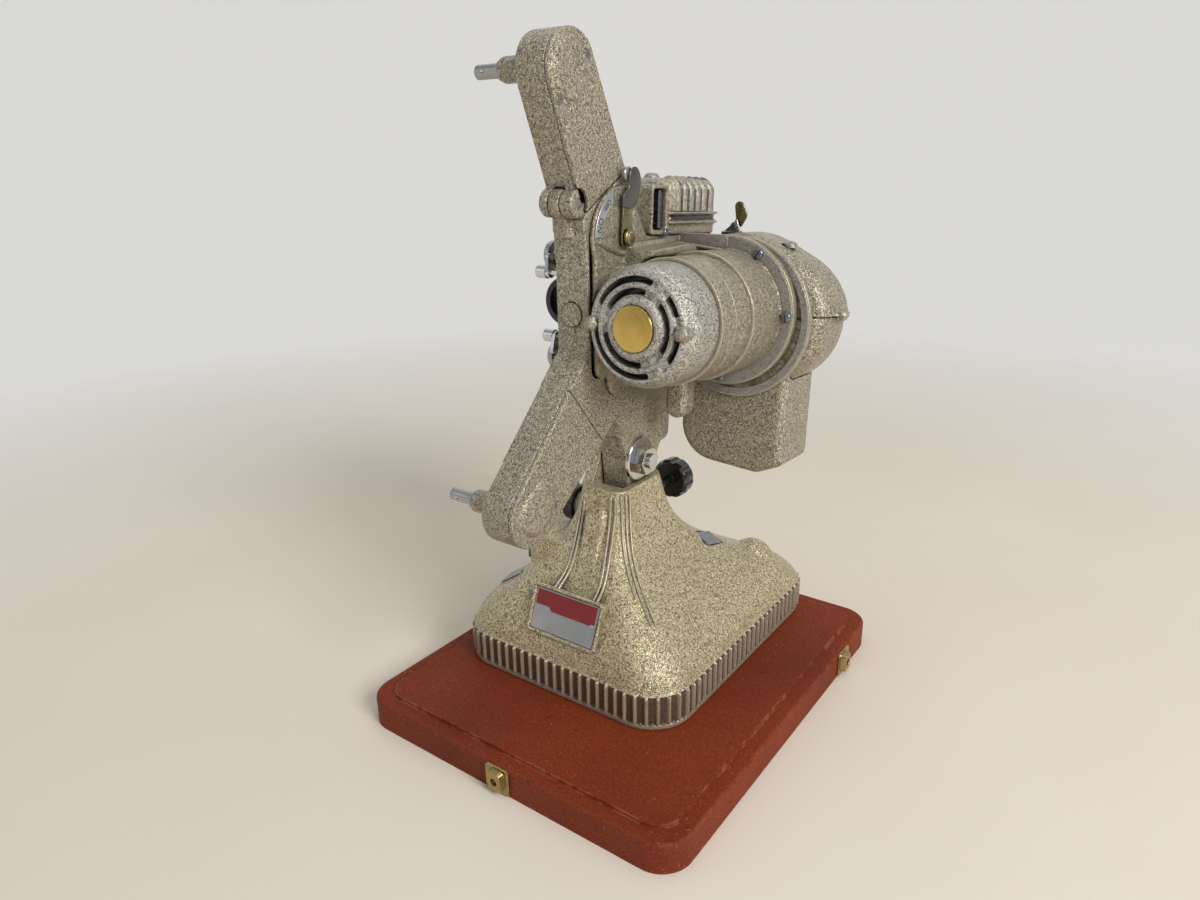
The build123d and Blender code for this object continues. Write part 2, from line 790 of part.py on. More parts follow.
with BuildPart() as lower_arm_cover:
    whole_arm = hull(side_plane(-arm_cover_thick), lower_root + [lower_tip], arm_cover_thick)
    add(whole_arm & beyond_lower_seam(-arm_cover_thick - 1, arm_cover_thick + 2, 0.15))
    bump_circles = [
        (lower_tip_y + 1.0, lower_tip_z + 1.0, 13.0),
        (lower_tip_y + 10.0, lower_tip_z + 10.0, 9.0),
    ]
    add(hull(side_plane(-1.0), bump_circles, 2.8, end_round=1.6))
    for spot in cover_spots_lower:
        add(rod(side_plane(-arm_cover_thick), spot, 1.2, arm_cover_thick + 1), mode=Mode.SUBTRACT)
save(lower_arm_cover, "lower_arm_cover")

# Upper arm: folds forward on its hinge pin

upper_root = [(seam_front_y + 2.0, seam_front_z + 2.6, 1.0), (seam_rear_y - 2.5, seam_rear_z + 0.6, 1.0)]
upper_tip = (upper_tip_y, upper_tip_z, upper_tip_radius)
upper_circles = upper_root + [upper_tip]

with BuildPart() as upper_arm:
    add(hull(side_plane(head_left), upper_circles, head_right - head_left))
    add(rod(side_plane(head_left), hinge_centre, hinge_radius, head_right - head_left))
    knuckle_gap = rod(
        side_plane(knuckle_left - clearance),
        hinge_centre,
        hinge_radius + clearance,
        knuckle_right - knuckle_left + 2 * clearance,
    )
    add(knuckle_gap, mode=Mode.SUBTRACT)
    pin_hole = rod(side_plane(head_left - 1), hinge_centre, hinge_pin_radius + shaft_fit, 30.0)
    add(pin_hole, mode=Mode.SUBTRACT)
    arm_space = hull(side_plane(head_left + wall), shrink(upper_circles, wall), -head_left)
    add(arm_space, mode=Mode.SUBTRACT)
    add(hull(side_plane(-arm_cover_thick), upper_circles, arm_cover_thick + 1), mode=Mode.SUBTRACT)
    boss = rod(side_plane(spindle_boss_end), (upper_spindle_y, upper_spindle_z), spindle_boss_radius, 24.0)
    add(boss)
    bore = rod(
        side_plane(spindle_boss_end - 1), (upper_spindle_y, upper_spindle_z), spindle_journal + shaft_fit, 26.0
    )
    add(bore, mode=Mode.SUBTRACT)
save(upper_arm, "upper_arm")
print("upper arm", round(upper_arm.part.volume), len(upper_arm.part.solids()))

cover_spots_upper = [(-68.5, 382.0), (-44.0, 405.0)]

with BuildPart() as upper_arm_cover:
    add(hull(side_plane(-arm_cover_thick), upper_circles, arm_cover_thick))
    knuckle_seat = rod(side_plane(-arm_cover_thick - 1), hinge_centre, hinge_radius, arm_cover_thick + 2)
    add(knuckle_seat, mode=Mode.SUBTRACT)
    with BuildSketch(side_plane(0.0)):
        with Locations((upper_spindle_y, upper_spindle_z - 2.0)):
            Circle(15.5)
    extrude(amount=1.8, taper=25)
    for spot in cover_spots_upper:
        add(rod(side_plane(0.0), spot, cover_screw_radius + 0.2, 3.0), mode=Mode.SUBTRACT)
        add(rod(side_plane(-arm_cover_thick), spot, 1.2, arm_cover_thick + 1), mode=Mode.SUBTRACT)
save(upper_arm_cover, "upper_arm_cover")


def cover_screws(spots):
    """Slotted screws that hold an arm cover."""
    with BuildPart() as screws:
        for spot in spots:
            add(screw_head(side_plane(0.0), spot, cover_screw_radius, 0.9))
            add(rod(side_plane(-arm_cover_thick), spot, 1.2, arm_cover_thick))
    return screws


upper_cover_screws = cover_screws(cover_spots_upper)
save(upper_cover_screws, "upper_cover_screws")
lower_cover_screws = cover_screws(cover_spots_lower)
save(lower_cover_screws, "lower_cover_screws")

with BuildPart() as hinge_pin:
    add(rod(side_plane(head_left), hinge_centre, hinge_pin_radius, head_right - head_left - 1.0))
save(hinge_pin, "hinge_pin")


def spindle(y, z):
    """Reel shaft with a chamfered free end, a thicker journal in its boss and a grooved pulley inside."""
    collar_x = spindle_boss_end - spindle_collar
    with BuildPart() as shaft:
        add(rod(side_plane(spindle_end), (y, z), spindle_radius, collar_x - spindle_end))
        add(rod(side_plane(collar_x), (y, z), spindle_journal, spindle_inner_end - collar_x))
        chamfer(shaft.edges().filter_by(GeomType.CIRCLE).sort_by(Axis.X)[0], 0.6)
        add(rod(side_plane(head_left + wall + 1.5), (y, z), pulley_radius, pulley_width))
        middle = head_left + wall + 1.5 + pulley_width / 2
        groove = tube(side_plane(middle - 1.3), (y, z), pulley_radius + 1, pulley_radius - 2.0, 2.6)
        add(groove, mode=Mode.SUBTRACT)
    return shaft


upper_spindle = spindle(upper_spindle_y, upper_spindle_z)
save(upper_spindle, "upper_spindle")
lower_spindle = spindle(lower_spindle_y, lower_spindle_z)
save(lower_spindle, "lower_spindle")

with BuildPart() as column_plug:
    add(rod(front_plane(column_front + 2.5), plug_spot, plug_radius, 3.3))
    fillet(column_plug.edges().filter_by(GeomType.CIRCLE).sort_by(Axis.Y)[0], 0.6)
save(column_plug, "column_plug")

# Cover of the gear space on the motor side

lever_y = -16.0
lever_z = 309.0
scale_radius = 26.0
cover_thick = 3.0
gear_cover_rear = 38.0
motor_axis = (motor_x, motor_z)

with BuildPart() as gear_cover:
    add(block(side_plane(0.0), (-43.5, 228.0), (gear_cover_rear, 304.8), cover_thick, 8.0))
    fillet(gear_cover.faces().sort_by(Axis.X)[-1].edges(), 1.2)
    sector = rod(side_plane(0.0), (lever_y, lever_z), scale_radius + 3.0, cover_thick)
    add(sector & block(side_plane(0.0), (-60.0, lever_z - 12.0), (-4.0, lever_z + 40.0), cover_thick))
    add(rod(side_plane(0.0), (lever_y, lever_z), 9.0, cover_thick))
    add(rod(side_plane(0.0), (-20.0, 226.0), 12.0, cover_thick))
    # saddle between the cover and the motor's barrel
    add(block(side_plane(1.0), (-15.0, 275.0), (gear_cover_rear, 302.0), 21.0, 4.0))
    # pivot of the run lever, riveted over
    add(rod(side_plane(cover_thick), (lever_y, lever_z), 2.5, 4.7))
    add(screw_head(side_plane(cover_thick + 4.7), (lever_y, lever_z), 4.0, 1.8))
    motor_room = rod(front_plane(head_rear), motor_axis, barrel_rear_radius + 0.6, 180.0)
    motor_room = motor_room.rotate(Axis((0, lean_y, lean_z), (1, 0, 0)), -lean_angle)
    add(motor_room, mode=Mode.SUBTRACT)
save(gear_cover, "gear_cover")

# Motor

flange_spots = [
    (
        motor_x + motor_screw_circle * math.cos(math.radians(angle)),
        motor_z + motor_screw_circle * math.sin(math.radians(angle)),
    )
    for angle in (60, 0, -90, 180)
]
slot_ring_radii = (20.5, 26.0)
slot_ring_starts = ((15, 135, 255), (20, 110, 200, 290))
slot_sweep = 62
cap_nut_reach = 29.5


def ring_slots(ring_radius, width, depth_plane, length, starts, sweep):
    """Arc slots round the motor's axis."""
    with BuildPart() as slots:
        with BuildSketch(depth_plane):
            for start in starts:
                path = Edge.make_circle(ring_radius, Plane.XY, start, start + sweep)
                with Locations(motor_axis):
                    SlotArc(path, width)
        extrude(amount=length)
    return slots.part


with BuildPart() as motor_end_cap:
    add(rod(front_plane(cap_rear_y), motor_axis, cap_radius, cap_rear_y - cap_front_y))
    fillet(motor_end_cap.edges().filter_by(GeomType.CIRCLE).sort_by(Axis.Y)[0], 9.0)
    add(rod(front_plane(cap_front_y + 1.0), motor_axis, 16.0, 4.0))
    fillet(motor_end_cap.edges().filter_by(GeomType.CIRCLE).sort_by(Axis.Y)[0], 1.5)
    cap_depth = cap_rear_y - cap_front_y - 5.0
    inside = rod(front_plane(cap_rear_y + 1), motor_axis, cap_radius - shell_thick, cap_depth)
    add(inside, mode=Mode.SUBTRACT)
    for side in (-1, 1):
        nut_spot = (motor_x + side * cap_nut_reach, motor_z)
        add(rod(front_plane(cap_front_y + 3.0), nut_spot, 3.6, 8.0), mode=Mode.SUBTRACT)
    for ring_radius, slot_starts in zip(slot_ring_radii, slot_ring_starts):
        slots = ring_slots(ring_radius, 2.6, front_plane(cap_front_y + 12), 20.0, slot_starts, slot_sweep)
        add(slots, mode=Mode.SUBTRACT)
save(motor_end_cap, "motor_end_cap", leaning=True)

with BuildPart() as cap_nuts:
    for side in (-1, 1):
        nut_spot = (motor_x + side * cap_nut_reach, motor_z)
        add(rod(front_plane(cap_front_y + 3.0), nut_spot, 3.6, 3.6))
        with Locations((nut_spot[0], cap_front_y - 0.6, nut_spot[1])):
            Sphere(3.0)
save(cap_nuts, "cap_nuts", leaning=True)

with BuildPart() as cap_badge:
    add(rod(front_plane(cap_front_y - 3.0), motor_axis, 12.0, 1.0))
    with BuildSketch(Plane(origin=(motor_x, 0, motor_z), x_dir=(0, 1, 0), z_dir=(1, 0, 0))):
        with BuildLine():
            Line((cap_front_y - 4.0, 0), (cap_front_y - 6.6, 0))
            RadiusArc((cap_front_y - 6.6, 0), (cap_front_y - 4.0, 11.6), -28.0)
            Line((cap_front_y - 4.0, 11.6), (cap_front_y - 4.0, 0))
        make_face()
    revolve(axis=Axis((motor_x, 0, motor_z), (0, 1, 0)))
save(cap_badge, "cap_badge", leaning=True)

with BuildPart() as motor_barrel:
    front_length = barrel_step_y - cap_rear_y
    rear_length = motor_flange_y - barrel_step_y
    add(rod(front_plane(barrel_step_y), motor_axis, barrel_front_radius, front_length))
    add(rod(front_plane(motor_flange_y), motor_axis, barrel_rear_radius, rear_length))
    flange_plane = front_plane(motor_flange_y + motor_flange_thick)
    add(rod(flange_plane, motor_axis, motor_flange_radius, motor_flange_thick))
    # round-ended housing under the barrel
    add(hull(front_plane(25.5), [(25.0, 203.5, 7.5), (25.0, 222.0, 7.5)], 15.0, 4.0, 4.0))
    bore = rod(
        front_plane(motor_flange_y + motor_flange_thick + 1),
        motor_axis,
        barrel_front_radius - shell_thick,
        motor_flange_y + motor_flange_thick + 2 - cap_rear_y,
    )
    add(bore, mode=Mode.SUBTRACT)
    for spot in flange_spots:
        screw_way = rod(front_plane(motor_flange_y + motor_flange_thick + 1), spot, 1.6, 10.0)
        add(screw_way, mode=Mode.SUBTRACT)
save(motor_barrel, "motor_barrel", leaning=True)

with BuildPart() as flange_screws:
    for spot in flange_spots:
        add(screw_head(front_plane(motor_flange_y), spot, 2.9, 1.6))
        add(rod(front_plane(motor_flange_y + motor_flange_thick), spot, 1.6, motor_flange_thick))
save(flange_screws, "flange_screws", leaning=True)

# Running parts of the motor

fan_front_y = 60.0
fan_rear_y = 92.0
shaft_front_y = -46.0
shaft_rear_y = 96.0

with BuildPart() as motor_rotor:
    add(rod(front_plane(shaft_rear_y), motor_axis, motor_shaft_radius, shaft_rear_y - shaft_front_y))
    add(rod(front_plane(30.0), motor_axis, 20.0, 42.0))
    for index in range(16):
        angle = 2 * math.pi * index / 16
        slot_spot = (motor_x + 20.0 * math.cos(angle), motor_z + 20.0 * math.sin(angle))
        add(rod(front_plane(31.0), slot_spot, 1.4, 44.0), mode=Mode.SUBTRACT)
    # fan wheel on the same shaft
    add(rod(front_plane(fan_rear_y), motor_axis, fan_radius, 2.0))
    add(rod(front_plane(fan_rear_y), motor_axis, 9.0, 14.0))
    add(tube(front_plane(fan_front_y + 2.0), motor_axis, fan_radius, fan_radius - 7.0, 2.0))
    for index in range(18):
        angle = 2 * math.pi * index / 18
        inner = (
            motor_x + (fan_radius - 7.0) * math.cos(angle),
            motor_z + (fan_radius - 7.0) * math.sin(angle),
        )
        outer = (
            motor_x + (fan_radius - 0.9) * math.cos(angle + 0.12),
            motor_z + (fan_radius - 0.9) * math.sin(angle + 0.12),
        )
        blade = hull(front_plane(fan_rear_y), [(*inner, 0.7), (*outer, 0.7)], fan_rear_y - fan_front_y)
        add(blade)
save(motor_rotor, "motor_rotor", leaning=True)

with BuildPart() as motor_stator:
    stator_outer = barrel_front_radius - shell_thick
    add(tube(front_plane(30.0), motor_axis, stator_outer, 20.8, 42.0))
save(motor_stator, "motor_stator", leaning=True)


def bearing_bridge(y, ring_outer):
    """Three-armed bridge that holds a bush round the motor shaft."""
    with BuildPart() as bridge:
        add(tube(front_plane(y), motor_axis, ring_outer, ring_outer - 2.5, 3.0))
        add(rod(front_plane(y), motor_axis, 8.5, 6.0))
        for index in range(3):
            angle = math.radians(90 + 120 * index)
            outer_end = (
                motor_x + (ring_outer - 1.5) * math.cos(angle),
                motor_z + (ring_outer - 1.5) * math.sin(angle),
            )
            add(hull(front_plane(y), [(*motor_axis, 2.5), (*outer_end, 1.2)], 3.0))
        bush_bore = rod(front_plane(y + 1), motor_axis, motor_shaft_radius + shaft_fit, 9.0)
        add(bush_bore, mode=Mode.SUBTRACT)
    return bridge.part


with BuildPart() as motor_bearings:
    add(bearing_bridge(-26.0, cap_radius - shell_thick))
    add(bearing_bridge(44.0, barrel_front_radius - shell_thick))
save(motor_bearings, "motor_bearings", leaning=True)

# Fan scroll behind the motor and the lamp duct below it

scroll_circles = [
    (motor_x, motor_z, scroll_ring_radius - 4.0),
    (scroll_centre_x, scroll_centre_z, scroll_radius),
]
lower_circles = [
    scroll_circles[0],
    (scroll_centre_x, scroll_centre_z + 3.0, scroll_radius - 3.5),
]

stud_rear_y = 82.0
stud_length = 10.0

with BuildPart() as scroll_plate:
    ring_rear_y = scroll_front_y + 4.0
    add(tube(front_plane(ring_rear_y), motor_axis, scroll_ring_radius, fan_radius - 6.0, 4.0))
    outer_edges = scroll_plate.edges().filter_by(GeomType.CIRCLE).group_by(SortBy.LENGTH)[-1]
    fillet(outer_edges.sort_by(Axis.Y)[0], 1.0)
    for spot in flange_spots:
        add(rod(front_plane(scroll_front_y + 5.0), spot, 1.6, 6.0), mode=Mode.SUBTRACT)
save(scroll_plate, "scroll_plate", leaning=True)

stud_spots = (
    (scroll_centre_x + 6.0, scroll_centre_z + scroll_radius + 0.6),
    (scroll_centre_x + scroll_radius + 1.6, motor_z),
)


def scroll_half(keep, circles):
    """One half of the fan's scroll, parted level with the motor's axis."""
    with BuildPart() as half:
        depth = scroll_rear_y - scroll_front_y - 4.0
        add(hull(front_plane(scroll_rear_y), circles, depth, scroll_edge, scroll_edge))
        hollow = hull(
            front_plane(scroll_rear_y - shell_thick),
            [(u, v, radius - shell_thick) for u, v, radius in circles],
            depth - 2 * shell_thick,
            scroll_edge - shell_thick,
            scroll_edge - shell_thick,
        )
        add(hollow, mode=Mode.SUBTRACT)
        rib = block(
            Plane.XY.offset(motor_z - 2.0),
            (scroll_centre_x + scroll_radius - 4.5, scroll_front_y + 4.0 + scroll_edge),
            (scroll_centre_x + scroll_radius + 1.2, scroll_rear_y - scroll_edge),
            4.0,
        )
        add(rib)
        inlet = rod(front_plane(scroll_front_y + 16.0), motor_axis, fan_radius - 6.0, 20.0)
        add(inlet, mode=Mode.SUBTRACT)
        add(tube(front_plane(scroll_rear_y), motor_axis, 9.0, motor_shaft_radius + shaft_fit, 5.0))
        shaft_way = rod(front_plane(scroll_rear_y + 1.0), motor_axis, motor_shaft_radius + shaft_fit, 9.0)
        add(shaft_way, mode=Mode.SUBTRACT)
        for spot in stud_spots:
            add(rod(front_plane(stud_rear_y), spot, 3.2, stud_length), mode=Mode.SUBTRACT)
        for spot in flange_spots:
            add(rod(front_plane(scroll_front_y + 9.0), spot, 1.6, 8.0), mode=Mode.SUBTRACT)
        split(bisect_by=Plane.XY.offset(motor_z), keep=keep)
    return half


scroll_upper = scroll_half(Keep.TOP, scroll_circles)
save(scroll_upper, "scroll_upper", leaning=True)
scroll_lower = scroll_half(Keep.BOTTOM, lower_circles)
save(scroll_lower, "scroll_lower", leaning=True)
print("scroll halves", round(scroll_upper.part.volume), len(scroll_upper.part.solids()))

with BuildPart() as scroll_studs:
    for spot in stud_spots:
        add(rod(front_plane(stud_rear_y), spot, 3.2, stud_length))
save(scroll_studs, "scroll_studs", leaning=True)

with BuildPart() as lamp_duct:
    duct_top = scroll_centre_z - 12.0
    duct_circles = [
        (duct_left + 25.0, duct_bottom + 27.0, 25.0),
        (duct_right - 20.0, duct_bottom + 10.0, 10.0),
        (duct_right - 6.0, duct_bottom + 12.0, 6.0),
        (duct_right - 6.0, duct_top, 6.0),
        (duct_left + 6.0, duct_bottom + 40.0, 6.0),
        (duct_left + 12.0, duct_top, 6.0),
    ]
    duct_depth = scroll_rear_y - scroll_front_y - 4.0
    add(hull(front_plane(scroll_rear_y), duct_circles, duct_depth, duct_edge, duct_edge))
    duct_inner = [(u, v, radius - shell_thick) for u, v, radius in duct_circles]
    duct_hollow = hull(
        front_plane(scroll_rear_y - shell_thick),
        duct_inner,
        duct_depth - 2 * shell_thick,
        duct_edge - shell_thick,
        duct_edge - shell_thick,
    )
    add(duct_hollow, mode=Mode.SUBTRACT)
    scroll_seat = hull(front_plane(scroll_rear_y), lower_circles, duct_depth, scroll_edge, scroll_edge)
    add(scroll_seat, mode=Mode.SUBTRACT)
    ring_seat = rod(front_plane(scroll_front_y + 4.0), motor_axis, scroll_ring_radius, 12.0)
    add(ring_seat, mode=Mode.SUBTRACT)
save(lamp_duct, "lamp_duct", leaning=True)
print("duct", round(lamp_duct.part.volume), len(lamp_duct.part.solids()))

# Lamp house with its lift-off ribbed cap, lamp, socket, reflector and condenser

lamp_x = optic_x
house_floor = 226.0
cap_seam_z = 322.0

with BuildPart() as lamp_house:
    add(
        block(
            Plane.XY.offset(house_floor),
            (lamp_house_left, lamp_house_front),
            (head_left, lamp_house_rear),
            platform_z - house_floor,
            8.0,
        )
    )
    add(
        block(
            Plane.XY.offset(platform_z),
            (lamp_house_left, lamp_house_front),
            (lamp_house_right, lamp_house_rear),
            cap_seam_z - platform_z,
            8.0,
        )
    )
    hollow_low = block(
        Plane.XY.offset(house_floor + shell_thick),
        (lamp_house_left + shell_thick, lamp_house_front + shell_thick),
        (head_left - shell_thick, lamp_house_rear - shell_thick),
        platform_z - house_floor,
        6.0,
    )
    add(hollow_low, mode=Mode.SUBTRACT)
    hollow_high = block(
        Plane.XY.offset(platform_z + shell_thick),
        (lamp_house_left + shell_thick, lamp_house_front + shell_thick),
        (lamp_house_right - shell_thick, lamp_house_rear - shell_thick),
        cap_seam_z - platform_z,
        6.0,
    )
    add(hollow_high, mode=Mode.SUBTRACT)
    for fin_z in (platform_z + 6.5, cap_seam_z - fin_thick):
        fin = block(
            Plane.XY.offset(fin_z),
            (lamp_house_left - fin_reach, lamp_house_front - fin_reach),
            (lamp_house_right + fin_reach, lamp_house_rear + fin_reach),
            fin_thick,
            9.0,
        )
        fin_core = block(
            Plane.XY.offset(fin_z),
            (lamp_house_left + shell_thick, lamp_house_front + shell_thick),
            (lamp_house_right - shell_thick, lamp_house_rear - shell_thick),
            fin_thick,
            6.0,
        )
        add(fin - fin_core)
    light_hole = rod(front_plane(lamp_house_front + 5), (optic_x, optic_z), 14.0, 10.0)
    add(light_hole, mode=Mode.SUBTRACT)
    # air box below the lamp
    air_box = [(-53.0, 164.0, 10.0), (-34.0, 164.0, 10.0), (-53.0, 217.0, 10.0), (-34.0, 217.0, 10.0)]
    add(hull(front_plane(90.0), air_box, 48.0, 4.0, 4.0))
    air_space = [(u, min(v, 214.0), radius - shell_thick) for u, v, radius in air_box]
    add(hull(front_plane(90.0 - shell_thick), air_space, 48.0 - 2 * shell_thick), mode=Mode.SUBTRACT)
    # vent frame in front of the lamp house, open from side to side
    vent_front = lamp_house_front - 19.0
    vent_block = block(
        side_plane(lamp_house_left + 16.0),
        (vent_front, platform_z),
        (lamp_house_front + 1.0, lamp_house_top - 4.0),
        lamp_house_right - lamp_house_left - 16.0,
        2.0,
    )
    vent_room = block(
        Plane.XY.offset(platform_z - 1.0),
        (lamp_house_left + 1.0, lamp_house_front + 0.5),
        (lamp_house_right + 1.0, lamp_house_front + 9.0),
        lamp_house_top - platform_z,
    )
    add(vent_block - vent_room)
    vent = block(
        side_plane(lamp_house_left + 15.0),
        (vent_front + 1.8, platform_z + 3.0),
        (lamp_house_front - 2.5, lamp_house_top - 6.5),
        lamp_house_right - lamp_house_left,
        1.0,
    )
    add(vent, mode=Mode.SUBTRACT)
save(lamp_house, "lamp_house", leaning=True)
print("lamp house", round(lamp_house.part.volume), len(lamp_house.part.solids()))

rib_count = 9

with BuildPart() as lamp_cap:
    cap_height = lamp_house_top - cap_seam_z
    add(
        block(
            Plane.XY.offset(cap_seam_z + clearance),
            (lamp_house_left + 1.0, lamp_house_front + 1.0),
            (lamp_house_right - 1.0, lamp_house_rear - 1.0),
            cap_height - clearance,
            9.0,
        )
    )
    fillet(lamp_cap.faces().sort_by(Axis.Z)[-1].edges(), 7.0)
    rib_span = lamp_house_rear - lamp_house_front - 24.0
    for index in range(rib_count):
        rib_y = lamp_house_front + 12.0 + index * rib_span / (rib_count - 1)
        rib = block(
            front_plane(rib_y + 1.1),
            (lamp_house_left - 0.4, cap_seam_z + clearance),
            (lamp_house_right + 0.4, lamp_house_top + 0.8),
            2.2,
            6.0,
        )
        add(rib)
    cap_hollow = block(
        Plane.XY.offset(cap_seam_z),
        (lamp_house_left + 3.5, lamp_house_front + 3.5),
        (lamp_house_right - 3.5, lamp_house_rear - 3.5),
        cap_height - 5.0,
        6.0,
    )
    add(cap_hollow, mode=Mode.SUBTRACT)
    cap_middle = ((lamp_house_left + lamp_house_right) / 2, (lamp_house_front + lamp_house_rear) / 2)
    add(rod(Plane.XY.offset(lamp_house_top - 1.0), cap_middle, 5.0, 4.8))
    fillet(lamp_cap.faces().sort_by(Axis.Z)[-1].edges(), 1.2)
save(lamp_cap, "lamp_cap", leaning=True)

socket_bottom = house_floor + shell_thick
reflector_y = lamp_y + lamp_radius + 3.0
with BuildPart() as lamp_socket:
    add(tube(Plane.XY.offset(socket_bottom), (lamp_x, lamp_y), 12.0, 9.6, 14.0))
    add(rod(Plane.XY.offset(socket_bottom), (lamp_x, lamp_y), 12.0, 2.0))
    # round reflector behind the lamp, on a foot of its own
    add(rod(front_plane(reflector_y + 7.0), (optic_x, optic_z), 14.5, 7.0))
    fillet(lamp_socket.edges().filter_by(GeomType.CIRCLE).sort_by(Axis.Y)[-1], 5.0)
    inner_bowl = rod(front_plane(reflector_y + 5.6), (optic_x, optic_z), 13.1, 8.0)
    add(inner_bowl, mode=Mode.SUBTRACT)
    foot = block(
        Plane.XY.offset(socket_bottom),
        (optic_x - 4.0, lamp_y + 11.0),
        (optic_x + 4.0, reflector_y + 7.0),
        1.5,
    )
    add(foot)
    stem = block(
        Plane.XY.offset(socket_bottom),
        (optic_x - 4.0, reflector_y + 5.5),
        (optic_x + 4.0, reflector_y + 7.0),
        optic_z - 9.0 - socket_bottom,
    )
    add(stem)
save(lamp_socket, "lamp_socket", leaning=True)

with BuildPart() as projection_lamp:
    add(rod(Plane.XY.offset(socket_bottom + 2.0), (lamp_x, lamp_y), 9.5, 22.0))
    add(rod(Plane.XY.offset(socket_bottom + 24.0), (lamp_x, lamp_y), lamp_radius, 62.0))
    fillet(projection_lamp.faces().sort_by(Axis.Z)[-1].edges(), 11.0)
save(projection_lamp, "projection_lamp", leaning=True)

condenser_start = 22.0
with BuildPart() as condenser:
    condenser_length = lamp_house_front + shell_thick - condenser_start
    add(tube(front_plane(lamp_house_front + shell_thick), (optic_x, optic_z), 14.0, 12.0, condenser_length))
    for lens_y in (condenser_start + 0.6, condenser_start + 6.4):
        add(rod(front_plane(lens_y + 4.8), (optic_x, optic_z), 12.0, 4.8))
save(condenser, "condenser", leaning=True)

# Film side: shutter box, gate, lens, sprockets and keepers

shutter_x = -46.0
shutter_z = 250.0
shutter_radius = 20.5
box_front = 14.0
box_rear = 22.0

with BuildPart() as shutter_box:
    add(block(front_plane(box_rear), (-69.0, 226.0), (head_left, 296.0), box_rear - box_front, 6.0))
    room_depth = box_rear - box_front - 4.0
    room = block(front_plane(box_rear - 2.0), (-67.5, 228.0), (head_left - 2.0, 294.0), room_depth, 5.0)
    add(room, mode=Mode.SUBTRACT)
    light_way = rod(front_plane(box_rear + 1), (optic_x, optic_z), 6.0, 12.0)
    add(light_way, mode=Mode.SUBTRACT)
    shaft_way = rod(front_plane(box_rear + 1), (shutter_x, shutter_z), 2.0 + shaft_fit, 12.0)
    add(shaft_way, mode=Mode.SUBTRACT)
save(shutter_box, "shutter_box", leaning=True)

with BuildPart() as shutter_disc:
    shutter_y = (box_front + box_rear) / 2
    with BuildSketch(front_plane(shutter_y + 0.5)):
        with Locations((shutter_x, shutter_z)):
            Circle(shutter_radius)
            for start in (20, 200):
                with Locations(Location((0, 0, 0), start)):
                    with Locations((12.5, 0)):
                        Rectangle(9.0, 12.0, mode=Mode.SUBTRACT)
    extrude(amount=1.0)
    add(rod(front_plane(box_rear + 3.0), (shutter_x, shutter_z), 2.0, 10.5))
save(shutter_disc, "shutter_disc", leaning=True)

with BuildPart() as film_gate:
    add(block(front_plane(box_front), (-54.0, 240.0), (head_left, 294.0), box_front - gate_y, 2.0))
    window_low = (optic_x - 2.4, optic_z - 1.8)
    window_high = (optic_x + 2.4, optic_z + 1.8)
    window = block(front_plane(box_front + 1), window_low, window_high, 9.0)
    add(window, mode=Mode.SUBTRACT)
    channel = block(front_plane(gate_y + 0.8), (optic_x - 4.1, 239.0), (optic_x + 4.1, 295.0), 2.0)
    add(channel, mode=Mode.SUBTRACT)
    # pressure plate that bears on the film
    add(block(front_plane(gate_y), (optic_x - 8.0, 246.0), (optic_x + 8.0, 288.0), 1.6, 2.0))
    window = block(front_plane(gate_y + 1), window_low, window_high, 4.0)
    add(window, mode=Mode.SUBTRACT)
save(film_gate, "film_gate", leaning=True)

holder_front = -12.0
holder_rear = 4.0
with BuildPart() as lens_holder:
    holder_depth = holder_rear - holder_front
    holder_plane = front_plane(holder_rear)
    add(tube(holder_plane, (optic_x, optic_z), 15.5, lens_barrel_radius + shaft_fit, holder_depth))
    arm = block(front_plane(holder_rear), (optic_x + 13.0, optic_z - 8.0), (head_left, optic_z + 8.0), 12.0)
    add(arm)
    bridge_low = (head_left - 4.0, optic_z - 8.0)
    bridge_high = (head_left, optic_z + 8.0)
    bridge = block(front_plane(gate_y), bridge_low, bridge_high, gate_y - holder_rear)
    add(bridge)
save(lens_holder, "lens_holder", leaning=True)

with BuildPart() as lens:
    head_plane = front_plane(holder_front - 0.3)
    add(rod(head_plane, (optic_x, optic_z), lens_radius, holder_front - 0.3 - lens_front_y))
    fillet(lens.edges().filter_by(GeomType.CIRCLE).sort_by(Axis.Y)[0], 1.2)
    add(rod(front_plane(holder_rear), (optic_x, optic_z), lens_barrel_radius, holder_depth + 1.0))
    front_cup = rod(front_plane(lens_front_y + 4.0), (optic_x, optic_z), 11.0, 6.0)
    add(front_cup, mode=Mode.SUBTRACT)
    add(rod(front_plane(holder_rear + 1), (optic_x, optic_z), 9.0, 30.0), mode=Mode.SUBTRACT)
save(lens, "lens", leaning=True)

with BuildPart() as lens_glass:
    add(rod(front_plane(lens_front_y + 7.0), (optic_x, optic_z), 9.0, 3.0))
    add(rod(front_plane(holder_rear - 1.0), (optic_x, optic_z), 9.0, 3.0))
save(lens_glass, "lens_glass", leaning=True)


